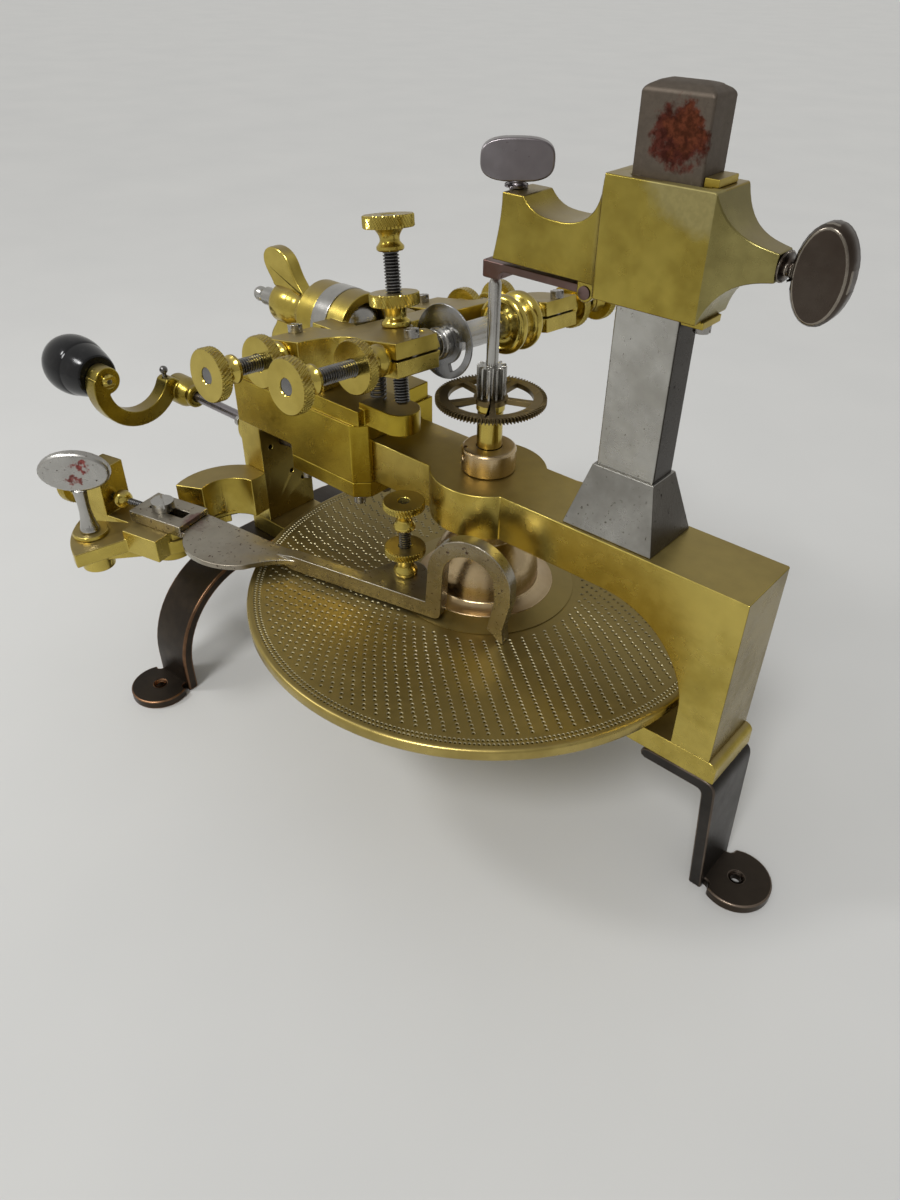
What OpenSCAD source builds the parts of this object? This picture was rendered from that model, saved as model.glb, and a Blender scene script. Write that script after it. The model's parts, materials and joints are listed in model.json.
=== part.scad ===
// Clockmaker's wheel cutting engine: a brass gate-shaped bed with a dividing plate,
// a sliding saddle that carries a swing frame with its cutter, and an overarm that
// steadies the work arbor. Millimetres, +Z up, dividing spindle on the Z axis, floor at z = 0.

/* [Bed and legs] */
// Width of the bed, the legs and the lower bar
bed_w = 26.4; // [20:0.2:34]
// Thickness of the bed bar
bed_h = 17; // [13:0.5:22]
// Width of the right leg
leg_right_w = 14.3; // [10:0.1:20]
// Width of the left leg
leg_left_w = 13; // [10:0.5:18]
// Clear height between the lower bar and the bed
gate_h = 47; // [42:1:60]
// Radius of the arch where the bed runs into the right leg
gate_arch_r = 33; // [8:1:36]
// Radius of the round spindle boss in the bed
boss_r = 20.8; // [16:0.2:24]
// Thickness of the lower bar
lower_bar_h = 8.5; // [6:0.5:12]
// Radius of the round-over at the right end of the lower bar
lower_bar_round = 3; // [1:0.5:5]

/* [Feet] */
// Height of the lower bar above the floor
foot_rise = 54.6; // [40:0.2:70]
// Thickness of the foot straps
foot_t = 4.8; // [3:0.2:7]
// Radius of the round foot pads
pad_r = 12.6; // [10:0.2:16]
// Radius of the screw holes in the foot pads
pad_hole_r = 1.9; // [1.2:0.1:3]
// Width of the left foot strap
strap_w = 21; // [18:0.2:26]
// Distance from the bed's centre line to each left foot hole
stance_y = 79; // [65:1:95]
// Radius of the bends of the left foot arch
arch_r = 42; // [24:1:48]
// Reach of the right foot pad past the end of the lower bar
right_foot_reach = 13; // [11:0.5:18]

/* [Dividing plate] */
// Radius of the dividing plate
plate_r = 90; // [75:1:105]
// Thickness of the dividing plate
plate_t = 5; // [3:0.5:8]
// Gap between the plate's rim and the right leg
plate_gap = 1.8; // [1:0.2:6]
// Clear width between the plate's rim and the left leg
left_bay = 24; // [18:1:34]
// Height of the plate's top above the lower bar
plate_rise = 15.4; // [13:0.2:22]
// Number of index circles drilled in the plate
circle_count = 9; // [3:1:12]
// Holes in the outermost index circle
circle_holes = 96; // [60:12:144]
// Radius of an index hole
index_hole_r = 0.6; // [0.4:0.1:1]
// Radius of the bell-shaped hub's flank
hub_r = 20; // [15:0.5:24]
// Radius of the hub's flange
hub_flange_r = 26; // [24:0.5:32]

/* [Dividing spindle and work] */
// Radius of the spindle's journal in the boss
journal_r = 7.5; // [5:0.5:10]
// Radius of the bronze collar on the boss
collar_r = 9.6; // [8.5:0.1:14]
// Height of the bronze collar
collar_h = 8.8; // [5:0.2:14]
// Radius of the brass work holder
holder_r = 4.4; // [3.6:0.1:6]
// Height of the brass work holder
holder_h = 16.2; // [12:0.2:22]
// Tip radius of the work wheel
wheel_r = 18.8; // [14:0.2:24]
// Thickness of the work wheel
wheel_t = 1.8; // [1.2:0.1:3]
// Teeth of the work wheel
wheel_teeth = 96; // [48:6:120]
// Tip radius of the pinion
pinion_r = 5; // [4:0.1:6]
// Leaves of the pinion
pinion_leaves = 12; // [8:1:14]
// Length of the pinion
pinion_h = 10.8; // [8:0.2:18]
// Radius of the work arbor
arbor_r = 2; // [1.6:0.1:2.6]
// Length of the work arbor above the wheel
arbor_len = 40.4; // [30:0.2:52]

/* [Column and overarm] */
// Distance from the spindle axis to the column
col_x = 56.6; // [50:0.2:62]
// Width of the column along the bed
col_w = 19.9; // [15:0.1:24]
// Depth of the column across the bed
col_d = 11.3; // [8:0.1:14]
// Height of the column above the bed
col_h = 121.6; // [112:0.2:140]
// Flare of the column's foot on each side
col_flare = 6.2; // [3:0.2:7]
// Height of the column's foot
col_foot_h = 20.8; // [12:0.2:30]
// Width of the overarm's block along the bed
arm_w = 31.3; // [29:0.1:38]
// Depth of the overarm's block
arm_d = 17.6; // [15:0.2:24]
// Height of the overarm's block
arm_h = 32; // [26:0.5:40]
// Thickness of the overarm's nose
nose_d = 14; // [11:0.5:15]
// Height of the overarm's nose at its tip
nose_h = 19; // [16:0.2:22]
// Length of the taper that carries the clamp screw
taper_len = 16.3; // [10:0.1:24]
// Thickness of the steel centre finger
finger_t = 2.4; // [1.8:0.1:4]
// Width of the steel centre finger
finger_w = 8; // [6:0.2:9]

/* [Saddle and lead screw] */
// Length of the saddle
saddle_len = 73; // [60:1:80]
// Thickness of the saddle's cheeks
cheek_t = 6.6; // [4.5:0.1:9]
// Height of the saddle above the bed
saddle_rise = 12.7; // [10:0.1:18]
// Length of the deep part of the saddle that the gib plate closes
deep_len = 40; // [34:1:46]
// Thickness of the gib plate under the bed
gib_plate_t = 6.2; // [4:0.2:9]
// Radius of the lead screw
lead_r = 2.75; // [2:0.05:3.5]
// Throw of the crank across its shaft
crank_y = 37.9; // [32:0.1:44]
// Height of the crank's knob above its shaft at rest
crank_z = 17.2; // [12:0.1:22]
// Width of the crank's scroll
scroll_w = 7; // [5:0.2:9]
// Thickness of the crank along its shaft
crank_t = 8; // [5:0.5:12]
// Largest radius of the crank's knob
knob_r = 13.5; // [10:0.5:17]
// Length of the crank's knob
knob_len = 34; // [26:1:42]

/* [Swivel and swing frame] */
// Tilt of the swing frame about the swivel at rest
tilt = 4.9; // [0:0.1:6]
// Rise of the swing frame at rest
swing = 9; // [7:0.1:12]
// Length of the swing frame from its pivot to the cutter
swing_len = 34; // [32:0.5:40]
// Height of the swing frame's arms
fork_h = 11; // [9:0.2:14]
// Width of the arms at their clamped ends
fork_end_w = 19.4; // [15:0.2:24]
// Clear width between the pivoted ends
fork_gap = 44; // [40:0.5:54]
// Distance from the cutter to the front arm
cutter_front = 10.6; // [8:0.2:14]
// Distance from the cutter to the back arm
cutter_back = 49.4; // [42:0.2:56]
// Radius of the swivel's drum
drum_r = 13; // [10:0.2:15]
// Radius of the wing nut's paddle tips
wing_r = 20.6; // [16:0.2:21]

/* [Cutter] */
// Radius of the cutter
cutter_r = 12.5; // [9:0.1:14]
// Thickness of the cutter
cutter_t = 1.6; // [1:0.1:2.6]
// Gap between the cutter and the top of the work wheel
cutter_gap = 0.5; // [0.3:0.1:3]
// Distance from the wheel's rim to the cutter's axis
cutter_reach = 2.6; // [1:0.1:8]
// Radius of the belt pulley's flanges
pulley_r = 10.6; // [8:0.2:13]
// Width of the belt pulley
pulley_w = 13; // [9:0.5:16]

/* [Knurled screws] */
// Radius of the knurled heads and lock nuts
head_r = 8.5; // [6.5:0.1:10]
// Thickness of the knurled heads and lock nuts
head_t = 4; // [3:0.1:6]
// Radius of the adjusting screws
screw_r = 2.7; // [2:0.05:3]

/* [Index arm] */
// Angle of the index arm from the bed
arm_angle = 12.9; // [8:0.1:18]
// Distance of the index arm in front of the spindle axis
arm_off = 29.8; // [28:0.1:34]
// Distance of the index point past the spindle along the arm
tip_s = 23.4; // [16:0.2:28]
// Distance of the index arm's spring root outside the plate's rim
root_out = 26.6; // [20:0.2:32]
// Thickness of the index arm's bar
index_bar_t = 5; // [3.5:0.1:6]
// Height of the index arm's bar
index_bar_h = 6.4; // [5:0.1:7.5]
// Inner radius of the index arm's loop
loop_r = 10; // [7:0.2:11]
// Width of the slotted foot of the index arm
index_foot_w = 17; // [13:0.5:20]
// Length of the slotted foot of the index arm
index_foot_len = 27; // [22:0.5:32]
// Thickness of the slotted foot of the index arm
index_foot_t = 5; // [4:0.1:6]

/* [Clearances] */
// Running clearance of shafts and slides
fit = 0.05; // [0.02:0.01:0.1]
// Gap between pieces that only pass each other
gap = 0.3; // [0.2:0.05:0.5]

/* [Hidden] */
$fn = 72;
lower_bar_z = foot_rise;
lower_top = lower_bar_z + lower_bar_h;
bed_z = lower_top + gate_h;
bed_top = bed_z + bed_h;
half_w = bed_w / 2;
leg_right_x = plate_r + plate_gap;
bed_right = leg_right_x + leg_right_w;
leg_left_x = -plate_r - left_bay;
bed_left = leg_left_x - leg_left_w;
leg_left_mid = leg_left_x - leg_left_w / 2;
leg_right_mid = leg_right_x + leg_right_w / 2;
plate_top = lower_top + plate_rise;
plate_z = plate_top - plate_t;
collar_top = bed_top + collar_h;
wheel_z = collar_top + holder_h;
wheel_top = wheel_z + wheel_t;
arbor_top = wheel_top + arbor_len;
spindle_r = journal_r - 1.5;
spindle_z = plate_z - 4.5;
nose_r = holder_r - 1.4;

lower_bar_end = 2.9;
right_end = bed_right + lower_bar_end;
right_pad_x = right_end + right_foot_reach;
right_strap_x = right_end - foot_t + 1.2;
left_pad_x = leg_left_mid - 1.6;
foot_screw_r = 2;
foot_screw_head_r = 4;
foot_screw_head_h = 2.6;
foot_screw_bite = 12;
col_screw_head_r = 5.5;
right_lean = 3.4;
strap_low_x = right_strap_x + right_lean;
strap_y = stance_y - pad_r * 0.62;

finger_z = arbor_top - 0.4;
finger_head_h = 5;
finger_top = finger_z + finger_head_h;
arm_z = finger_top - 1.2;
nose_z = finger_top + 1.8;
nose_x = 3.8;
arm_top = arm_z + arm_h;
arm_left = col_x - arm_w / 2;
arm_right = col_x + arm_w / 2;
finger_pin_x = arm_left - 4.4;
finger_pin_z = finger_top - finger_t / 2;
finger_pin_r = 1.2;
finger_eye_r = 2.7;
finger_screw_x = 6.4;
finger_screw_r = 2;
clamp_z = arm_z + arm_h / 2 + 0.6;
clamp_r = 2.2;
gib_t = 2.5;
gib_d = col_d - 1.3;

slide = fit;
saddle_half = half_w + slide + cheek_t;
saddle_top = bed_top + saddle_rise;
cutter_x = -wheel_r - cutter_reach;
swivel_z = wheel_top + cutter_gap + cutter_r - swing_len * sin(swing);
pivot_x = cutter_x - swing_len * cos(swing);
saddle_right = pivot_x + 10.5;
saddle_left = saddle_right - saddle_len;
anvil_top = saddle_top + 2.2;
spring_x = saddle_right - 0.6;
deep_left = saddle_right - deep_len;
gib_top = bed_z - slide;
gib_z = gib_top - gib_plate_t;
lead_z = gib_z - lead_r - 1.25;
lead_journal_r = lead_r + 0.3;
lead_right = saddle_right - 6;
bearing_t = 8;
bearing_collar_r = lead_journal_r + 1.3;
crank_x = bed_left - bearing_t - 51;
nut_len = 20;

arm_half = fork_gap / 2;
fork_end = 7;
clamp_off = 4.7;
bridge_x = 6.2;
bridge_w = 13;
stop_x = bridge_x + bridge_w + 1.2;
stop_y = -8.5;
stop_ear_r = 5.6;
stop_gap = 2.4;
stop_boss_h = 7;
stop_thread = 13;
trunnion_r = 5;
trunnion_y = arm_half - 1.6;
drum_x = [-25.5, -19.5, -12, -3.8];
shaft_r = 4.9;
thread_r = 3.5;
pedestal_t = 8;

index_z = plate_top + 1.3;
index_shelf_t = 3.2;
foot_z = plate_top + 3.4;
sector_t = 6;
sector_top = plate_top - 0.5;
sector_z = sector_top - sector_t;
bracket_t = 9.6;
bracket_top = sector_z - fit;
root_s = -plate_r - root_out;
foot_left_s = root_s - gap - index_foot_len;
pivot_s = foot_left_s + 11;
thumb_s = pivot_s - 24;
thumb_n = -19;
thumb_dist = norm([pivot_s - thumb_s, thumb_n]);
thumb_dir = atan2(thumb_n, thumb_s - pivot_s);
knob_s = tip_s - 46.4;
knob_n = 9.9;
tangent_r = 1.6;
tangent_z = foot_z + index_foot_t / 2;
thumb_r = 2.4;
block_x = foot_left_s - pivot_s - 28;
block_w = 11;

brass = [0.71, 0.58, 0.24];
bronze = [0.66, 0.48, 0.27];
steel = [0.62, 0.61, 0.58];
dark_steel = [0.27, 0.25, 0.24];
black_steel = [0.16, 0.16, 0.17];
rusty_steel = [0.43, 0.30, 0.27];
foot_bronze = [0.22, 0.17, 0.13];
ebony = [0.05, 0.05, 0.05];

// Points of an arc about c from angle a0 to a1 in n steps
function arc(c, r, a0, a1, n = 16) =
    [for (i = [0 : n]) c + r * [cos(a0 + (a1 - a0) * i / n), sin(a0 + (a1 - a0) * i / n)]];

// Points of a cubic curve through four control points
function curve(p, n = 12) =
    [for (i = [0 : n]) let (t = i / n, u = 1 - t)
        u * u * u * p[0] + 3 * u * u * t * p[1] + 3 * u * t * t * p[2] + t * t * t * p[3]];

// Solid of an XZ outline, w deep and centred on y
module across(w, y = 0) {
    translate([0, y + w / 2, 0]) rotate([90, 0, 0]) linear_extrude(w) children();
}

// Solid of a YZ outline, from x on for a length of w
module along(x, w) {
    translate([x, 0, 0]) rotate([90, 0, 90]) linear_extrude(w) children();
}

module rod_x(x, r, h) {
    translate([x, 0, 0]) rotate([0, 90, 0]) cylinder(r = r, h = h);
}

module rod_y(y, r, h) {
    translate([0, y, 0]) rotate([-90, 0, 0]) cylinder(r = r, h = h);
}

// Flat bar with round ends between two points
module bar_2d(a, b, w) {
    d = b - a;
    translate(a) circle(d = w);
    translate(b) circle(d = w);
    translate(a) rotate(atan2(d[1], d[0])) translate([0, -w / 2]) square([norm(d), w]);
}

// Sector of a ring about the origin
module ring_2d(r0, r1, a0, a1) {
    polygon(concat(arc([0, 0], r1, a0, a1, 24), arc([0, 0], r0, a1, a0, 24)));
}

// Waisted neck of a turned screw or nut, from z = 0 down to -h
function neck(h, r0, r1, r2) =
    concat(curve([[r0, 0], [r1, -h * 0.25], [r1 * 0.9, -h * 0.45], [r1, -h * 0.6]], 6),
        [[r2, -h * 0.8], [r2, -h * 0.93], [r2 - 0.5, -h]]);

// Knurled screw along -Z with its head's outer face at z = 0
module knurled_screw(len, neck_h = 7, r = screw_r, point = true) {
    rotate_extrude() polygon(concat(
        [[0, -0.4], [1.6, -0.4], [1.6, 0], [head_r - 0.6, 0], [head_r, -0.6], [head_r, 0.6 - head_t],
            [head_r - 0.6, -head_t]],
        [for (q = neck(neck_h, head_r * 0.62, head_r * 0.4, head_r * 0.54)) q - [0, head_t]],
        [[r, -head_t - neck_h]],
        point ? [[r, 2 * r - len], [0, -len]] : [[r, r / 2 - len], [r / 2, -len], [0, -len]]));
}

// Knurled lock nut along -Z with its outer face at z = 0 and its turned boss below
module knurled_nut(boss_h, r = screw_r) {
    rotate_extrude() polygon(concat(
        [[r + fit, 0], [head_r - 0.6, 0], [head_r, -0.6], [head_r, 0.6 - head_t],
            [head_r - 0.6, -head_t]],
        [for (q = neck(boss_h, head_r * 0.55, head_r * 0.45, head_r * 0.6)) q - [0, head_t]],
        [[r + fit, -head_t - boss_h]]));
}

// Thumbscrew up +Z: shank from z = -len to 0, then a neck and a flat oval head
module thumb_screw(len, r, head_w, head_h, head_t, neck_h) {
    rotate_extrude() polygon(concat([[0, -len], [r - 0.5, -len], [r, 0.5 - len], [r, -0.01], [r * 1.7, 0]],
        curve([[r * 1.7, 0.6], [r * 0.9, neck_h * 0.3], [r * 0.8, neck_h * 0.6], [r * 1.2, neck_h]], 6),
        [[0, neck_h]]));
    translate([0, head_t / 2, neck_h + head_h / 2 - 0.4]) rotate([90, 0, 0])
        oval_disc(head_w, head_h, head_t);
}

// Oval disc with eased edges, from z = 0 to t
module oval_disc(w, h, t) {
    ease = t * 0.2;
    hull() {
        translate([0, 0, ease]) linear_extrude(t - 2 * ease) oval_2d(w / 2, h / 2);
        linear_extrude(t) oval_2d(w / 2 - ease, h / 2 - ease);
    }
}

module oval_2d(a, b) {
    polygon([for (i = [0 : 31]) [a * cos(i * 11.25), b * sin(i * 11.25)]]);
}

// Slotted screw up +Z: head below z = 0, shank above
module cheese_screw(r, len, head_r, head_h) {
    difference() {
        union() {
            translate([0, 0, -head_h]) cylinder(r = head_r, h = head_h);
            translate([0, 0, -head_h / 2]) cylinder(r = r, h = len + head_h / 2);
        }
        translate([-head_r, -0.4, -head_h - 0.01]) cube([2 * head_r, 0.8, head_h * 0.45]);
    }
}

// Frame of the swivel: origin where the pivot crosses the swivel's axis
module at_swivel() {
    translate([pivot_x, 0, swivel_z]) rotate([-tilt, 0, 0]) children();
}

// Frame of the swing frame: x along its arms, y along its pivot
module at_fork() {
    at_swivel() rotate([0, -swing, 0]) children();
}

// Frame of the index arm: x along the arm, y across it, through the spindle axis
module at_index() {
    rotate([0, 0, arm_angle]) children();
}

// Fixed frame

module gate_2d() {
    polygon(concat([[bed_left, lower_top], [bed_left, bed_top], [bed_right, bed_top],
        [bed_right, lower_top], [leg_right_x, lower_top]],
        arc([leg_right_x - gate_arch_r, bed_z - gate_arch_r], gate_arch_r, 0, 90),
        arc([leg_left_x + 3, bed_z - 3], 3, 90, 180, 6), [[leg_left_x, lower_top]]));
}

module frame() {
    color(brass) difference() {
        union() {
            across(bed_w) gate_2d();
            translate([0, 0, bed_z]) cylinder(r = boss_r, h = bed_h);
        }
        translate([0, 0, bed_z - 1]) cylinder(r = journal_r + fit, h = bed_h + 2);
        translate([0, 0, lead_z]) rod_x(bed_left - 1, lead_journal_r + fit, leg_left_w + 2);
        foot_screw_holes();
        bearing_screw_places() rod_x(-1, 1.5, 9);
        bracket_screw_places() rod_y(-1, 1.6, bed_w + 2);
        translate([col_x, 0, bed_z - 1]) cylinder(r = 3 + fit, h = bed_h + 2);
        translate([col_x, 0, bed_z - 5]) cylinder(r = col_screw_head_r + 0.5, h = 5);
        for (p = [[-8, 0.75], [2, 0.42], [8, 0.3]])
            translate([0, p[0], lower_top + gate_h * p[1]]) rod_x(leg_left_x - 5, 1.1, 6);
    }
}

module foot_screw_places() {
    for (x = [leg_right_mid, leg_left_mid], y = [-6, 6])
        translate([x, y, lower_bar_z - foot_t]) children();
}

module foot_screw_holes() {
    foot_screw_places()
        translate([0, 0, -1]) cylinder(r = foot_screw_r + fit,
            h = foot_t + lower_bar_h + foot_screw_bite + 2);
}

module bearing_screw_places() {
    for (s = [-1, 1]) translate([bed_left, s * 6.4, lead_z - s * 3.2]) children();
}

module bracket_screw_places() {
    for (z = [15.6, 22]) translate([bed_left + 6, -half_w, lower_top + z]) children();
}

module lower_bar() {
    color(brass) difference() {
        across(bed_w) polygon(concat([[bed_left, lower_bar_z], [bed_left, lower_top]],
            arc([right_end - lower_bar_round, lower_top - lower_bar_round], lower_bar_round, 90, 0, 8),
            [[right_end, lower_bar_z]]));
        foot_screw_holes();
        translate([0, 0, lower_bar_z - 1]) cylinder(r = 4 + fit, h = lower_bar_h + 2);
    }
}

module frame_screws() {
    bite = foot_t + lower_bar_h + foot_screw_bite;
    color(steel) {
        foot_screw_places() cheese_screw(foot_screw_r, bite, foot_screw_head_r, foot_screw_head_h);
        translate([col_x, 0, bed_z]) cheese_screw(3, bed_h + 10, col_screw_head_r, 3);
        bearing_screw_places() translate([-bearing_t, 0, 0]) rotate([0, 90, 0])
            cheese_screw(1.45, bearing_t + 7, 2.4, 2.2);
        bracket_screw_places() translate([0, bed_w, 0]) rotate([90, 0, 0])
            cheese_screw(1.55, bed_w + 6, 2.8, 2);
    }
}

module pad_2d(x, y, toward) {
    translate([x, y]) circle(r = pad_r);
    translate([x, y]) rotate(toward) translate([0, -pad_r * 0.76]) square([pad_r, pad_r * 1.52]);
}

module right_foot() {
    strap_low_w = bed_w * 0.78;
    color(dark_steel) difference() {
        union() {
            translate([0, 0, lower_bar_z - foot_t]) linear_extrude(foot_t) {
                translate([leg_right_x - 4, -half_w]) square([right_strap_x + foot_t - leg_right_x + 4,
                    bed_w]);
                translate([leg_right_x - 4, 0]) intersection() {
                    circle(r = half_w * 1.4);
                    translate([-6, -half_w]) square([6, bed_w]);
                }
            }
            intersection() {
                across(bed_w + 1) polygon([[right_strap_x, lower_bar_z],
                    [right_strap_x + foot_t, lower_bar_z],
                    [strap_low_x + foot_t, 0], [strap_low_x, 0]]);
                along(right_strap_x - 1, right_lean + foot_t + 2)
                    polygon([[-half_w, lower_bar_z], [half_w, lower_bar_z],
                    [strap_low_w / 2, 0], [-strap_low_w / 2, 0]]);
            }
        }
        foot_screw_holes();
    }
}

module left_feet() {
    outer = lower_bar_z - arch_r;
    inner_r = arch_r - foot_t;
    color(foot_bronze) difference() {
        along(left_pad_x - strap_w / 2, strap_w) polygon(concat([[strap_y, 0], [strap_y, outer]],
            arc([strap_y - arch_r, outer], arch_r, 0, 90), arc([arch_r - strap_y, outer], arch_r, 90, 180),
            [[-strap_y, 0], [foot_t - strap_y, 0]], arc([arch_r - strap_y, outer], inner_r, 180, 90),
            arc([strap_y - arch_r, outer], inner_r, 90, 0), [[strap_y - foot_t, 0]]));
        foot_screw_holes();
    }
}

// Round pads that butt against the feet's straps
module foot_pads() {
    lean = right_lean / lower_bar_z;
    face = strap_low_x + foot_t;
    color(foot_bronze) {
        difference() {
            linear_extrude(foot_t) pad_2d(right_pad_x, 0, 180);
            across(3 * pad_r) polygon([[face + lean, -1], [face - lean * (foot_t + 1), foot_t + 1],
                [face - 2 * pad_r, foot_t + 1], [face - 2 * pad_r, -1]]);
            translate([right_pad_x, 0, -1]) cylinder(r = pad_hole_r, h = foot_t + 2);
        }
        for (s = [-1, 1]) linear_extrude(foot_t) difference() {
            pad_2d(left_pad_x, s * stance_y, -90 * s);
            translate([left_pad_x, s * (strap_y - pad_r)]) square([3 * pad_r, 2 * pad_r], center = true);
            translate([left_pad_x, s * stance_y]) circle(r = pad_hole_r);
        }
    }
}

// Column and overarm

// Flared outline of the column's foot
module flare_2d(half) {
    polygon([[-half - col_flare, 0], [half + col_flare, 0], [half, col_foot_h], [-half, col_foot_h]]);
}

module column() {
    dome_r = 70;
    top = bed_top + col_h;
    color(steel) difference() {
        union() {
            intersection() {
                translate([col_x, 0, bed_top]) across(col_d + 2 * col_flare) flare_2d(col_w / 2);
                translate([col_x, 0, bed_top]) along(-col_w / 2 - col_flare, col_w + 2 * col_flare)
                    flare_2d(col_d / 2);
            }
            intersection() {
                translate([col_x - col_w / 2, -col_d / 2, bed_top]) cube([col_w, col_d, col_h + 3]);
                translate([col_x, 0, top + 2.4 - dome_r]) sphere(r = dome_r);
            }
        }
        translate([col_x, 0, bed_top - 1]) cylinder(r = 3 + fit, h = 11.2);
    }
}

module overarm() {
    tip_top = nose_z + nose_h;
    sag = tip_top - 4.6;
    taper_end = arm_right + taper_len;
    end_h = 7;
    color(brass) difference() {
        union() {
            translate([arm_left, -arm_d / 2, arm_z]) cube([arm_w, arm_d, arm_h]);
            intersection() {
                across(arm_d) polygon(concat([[arm_left + 1, arm_z], [arm_left - 1, arm_z],
                    [arm_left - 1, nose_z], [nose_x, nose_z]],
                    curve([[nose_x, nose_z], [nose_x + 2, nose_z + nose_h * 0.4],
                        [nose_x + 3, nose_z + nose_h * 0.7], [nose_x + 3, tip_top]], 6),
                    [[nose_x + 9, tip_top]],
                    curve([[nose_x + 10.4, tip_top], [nose_x + 14, sag], [nose_x + 18, sag],
                        [nose_x + 24, sag]], 8),
                    curve([[arm_left - 13, sag], [arm_left - 5, sag + 0.5], [arm_left - 1.4, tip_top],
                        [arm_left, arm_top - 1]]),
                    [[arm_left + 1, arm_top - 1]]));
                translate([0, 0, arm_z - 1]) linear_extrude(arm_h + 2) polygon(concat(
                    [[nose_x - 1, nose_d / 2], [nose_x - 1, -nose_d / 2]],
                    curve([[arm_left - 9, -nose_d / 2], [arm_left - 4, -nose_d / 2],
                        [arm_left - 1, -nose_d / 2],
                        [arm_left, -arm_d / 2]], 6), [[arm_left + 1, -arm_d / 2], [arm_left + 1, arm_d / 2]],
                    curve([[arm_left, arm_d / 2], [arm_left - 1, nose_d / 2], [arm_left - 4, nose_d / 2],
                        [arm_left - 9, nose_d / 2]], 6)));
            }
            intersection() {
                across(arm_d) polygon(concat([[arm_right - 1, arm_z], [arm_right - 1, arm_top]],
                    curve([[arm_right, arm_top], [arm_right + 3, clamp_z + 6], [taper_end - 7, clamp_z + 4.6],
                        [taper_end, clamp_z + end_h / 2]]),
                    curve([[taper_end, clamp_z - end_h / 2], [taper_end - 7, clamp_z - 4.6],
                        [arm_right + 3, clamp_z - 6], [arm_right, arm_z]])));
                translate([0, 0, arm_z]) linear_extrude(arm_h) polygon(concat(
                    [[arm_right - 1, arm_d / 2], [arm_right - 1, -arm_d / 2]],
                    curve([[arm_right, -arm_d / 2], [arm_right + 4, -5.6], [taper_end - 6, -4.2],
                        [taper_end, -3.8]]),
                    curve([[taper_end, 3.8], [taper_end - 6, 4.2], [arm_right + 4, 5.6],
                        [arm_right, arm_d / 2]])));
            }
            for (s = [-1, 1]) translate([finger_pin_x, s * (finger_w / 2 + fit + 1), 0]) {
                translate([0, -1, finger_pin_z]) rod_y(0, finger_eye_r, 2);
                translate([-finger_eye_r, -1, finger_pin_z]) cube([2 * finger_eye_r, 2,
                    nose_z - finger_pin_z + 1]);
            }
        }
        translate([col_x - col_w / 2 - slide, -col_d / 2 - slide, arm_z - 1])
            cube([col_w + 2 * slide + gib_t, col_d + 2 * slide, arm_h + 2]);
        translate([0, 0, clamp_z]) rod_x(col_x + col_w / 2, clamp_r + fit, arm_w);
        translate([finger_screw_x, 0, nose_z - 1]) cylinder(r = finger_screw_r + fit, h = nose_h + 2);
        translate([finger_pin_x, 0, finger_pin_z]) rod_y(-arm_d, finger_pin_r + fit, 2 * arm_d);
        translate([finger_pin_x, 0, finger_pin_z]) rod_y(-finger_w / 2 - fit, finger_eye_r + gap,
            finger_w + 2 * fit);
        gib_screw_place() cylinder(r = 1.3, h = 7);
    }
}

module gib_screw_place() {
    translate([arm_right - 1.7, 0, arm_z]) children();
}

module overarm_gib() {
    x = col_x + col_w / 2 + slide;
    lip = 2;
    color(brass) difference() {
        union() {
            translate([x, -gib_d / 2, arm_z - lip]) cube([gib_t - slide, gib_d, arm_h + 2 * lip]);
            translate([x, -gib_d / 2, arm_top]) cube([gib_t + 1.6, gib_d, lip]);
            translate([x, -gib_d / 2, arm_z - lip]) cube([arm_right - x + 0.8, gib_d, lip]);
        }
        gib_screw_place() translate([0, 0, -lip - 1]) cylinder(r = 1.3, h = lip + 2);
    }
}

module gib_screw() {
    color(steel) gib_screw_place() translate([0, 0, -2]) cheese_screw(1.25, 8, 2.4, 2.2);
}

module overarm_clamp_screw() {
    shank = arm_right + taper_len - col_x - col_w / 2 - gib_t - gap;
    color(dark_steel) translate([arm_right + taper_len, 0, clamp_z]) rotate([0, 90, 0])
        translate([0, 0, gap]) thumb_screw(shank, clamp_r, 24, 14.4, 4.6, 3);
}

module centre_finger() {
    left = -2;
    color(rusty_steel) difference() {
        union() {
            across(finger_w) polygon(concat([[left, finger_z], [left + 0.6, finger_z - 0.2],
                [4.2, finger_z - 0.2],
                [4.6, finger_top - finger_t - 0.6], [6, finger_top - finger_t],
                [finger_pin_x, finger_top - finger_t], [finger_pin_x, finger_top], [left, finger_top]]));
            translate([finger_pin_x, 0, finger_pin_z]) rod_y(-finger_w / 2, finger_eye_r, finger_w);
        }
        translate([0, 0, finger_z - 1]) cylinder(r1 = 2, r2 = 0.6, h = 4);
        translate([finger_pin_x, 0, finger_pin_z]) rod_y(-finger_w, finger_pin_r + fit, 2 * finger_w);
    }
}

module finger_pin() {
    color(steel) translate([finger_pin_x, 0, finger_pin_z])
        rod_y(-finger_w / 2 - fit - 2.4, finger_pin_r, finger_w + 2 * fit + 4.8);
}

module finger_thumbscrew() {
    color(steel) translate([finger_screw_x, 0, nose_z + nose_h]) rotate([0, 0, 38])
        translate([0, 0, gap]) thumb_screw(nose_h + gap, finger_screw_r, 21, 11.4, 4, 1.8);
}

// Dividing spindle and work

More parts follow.
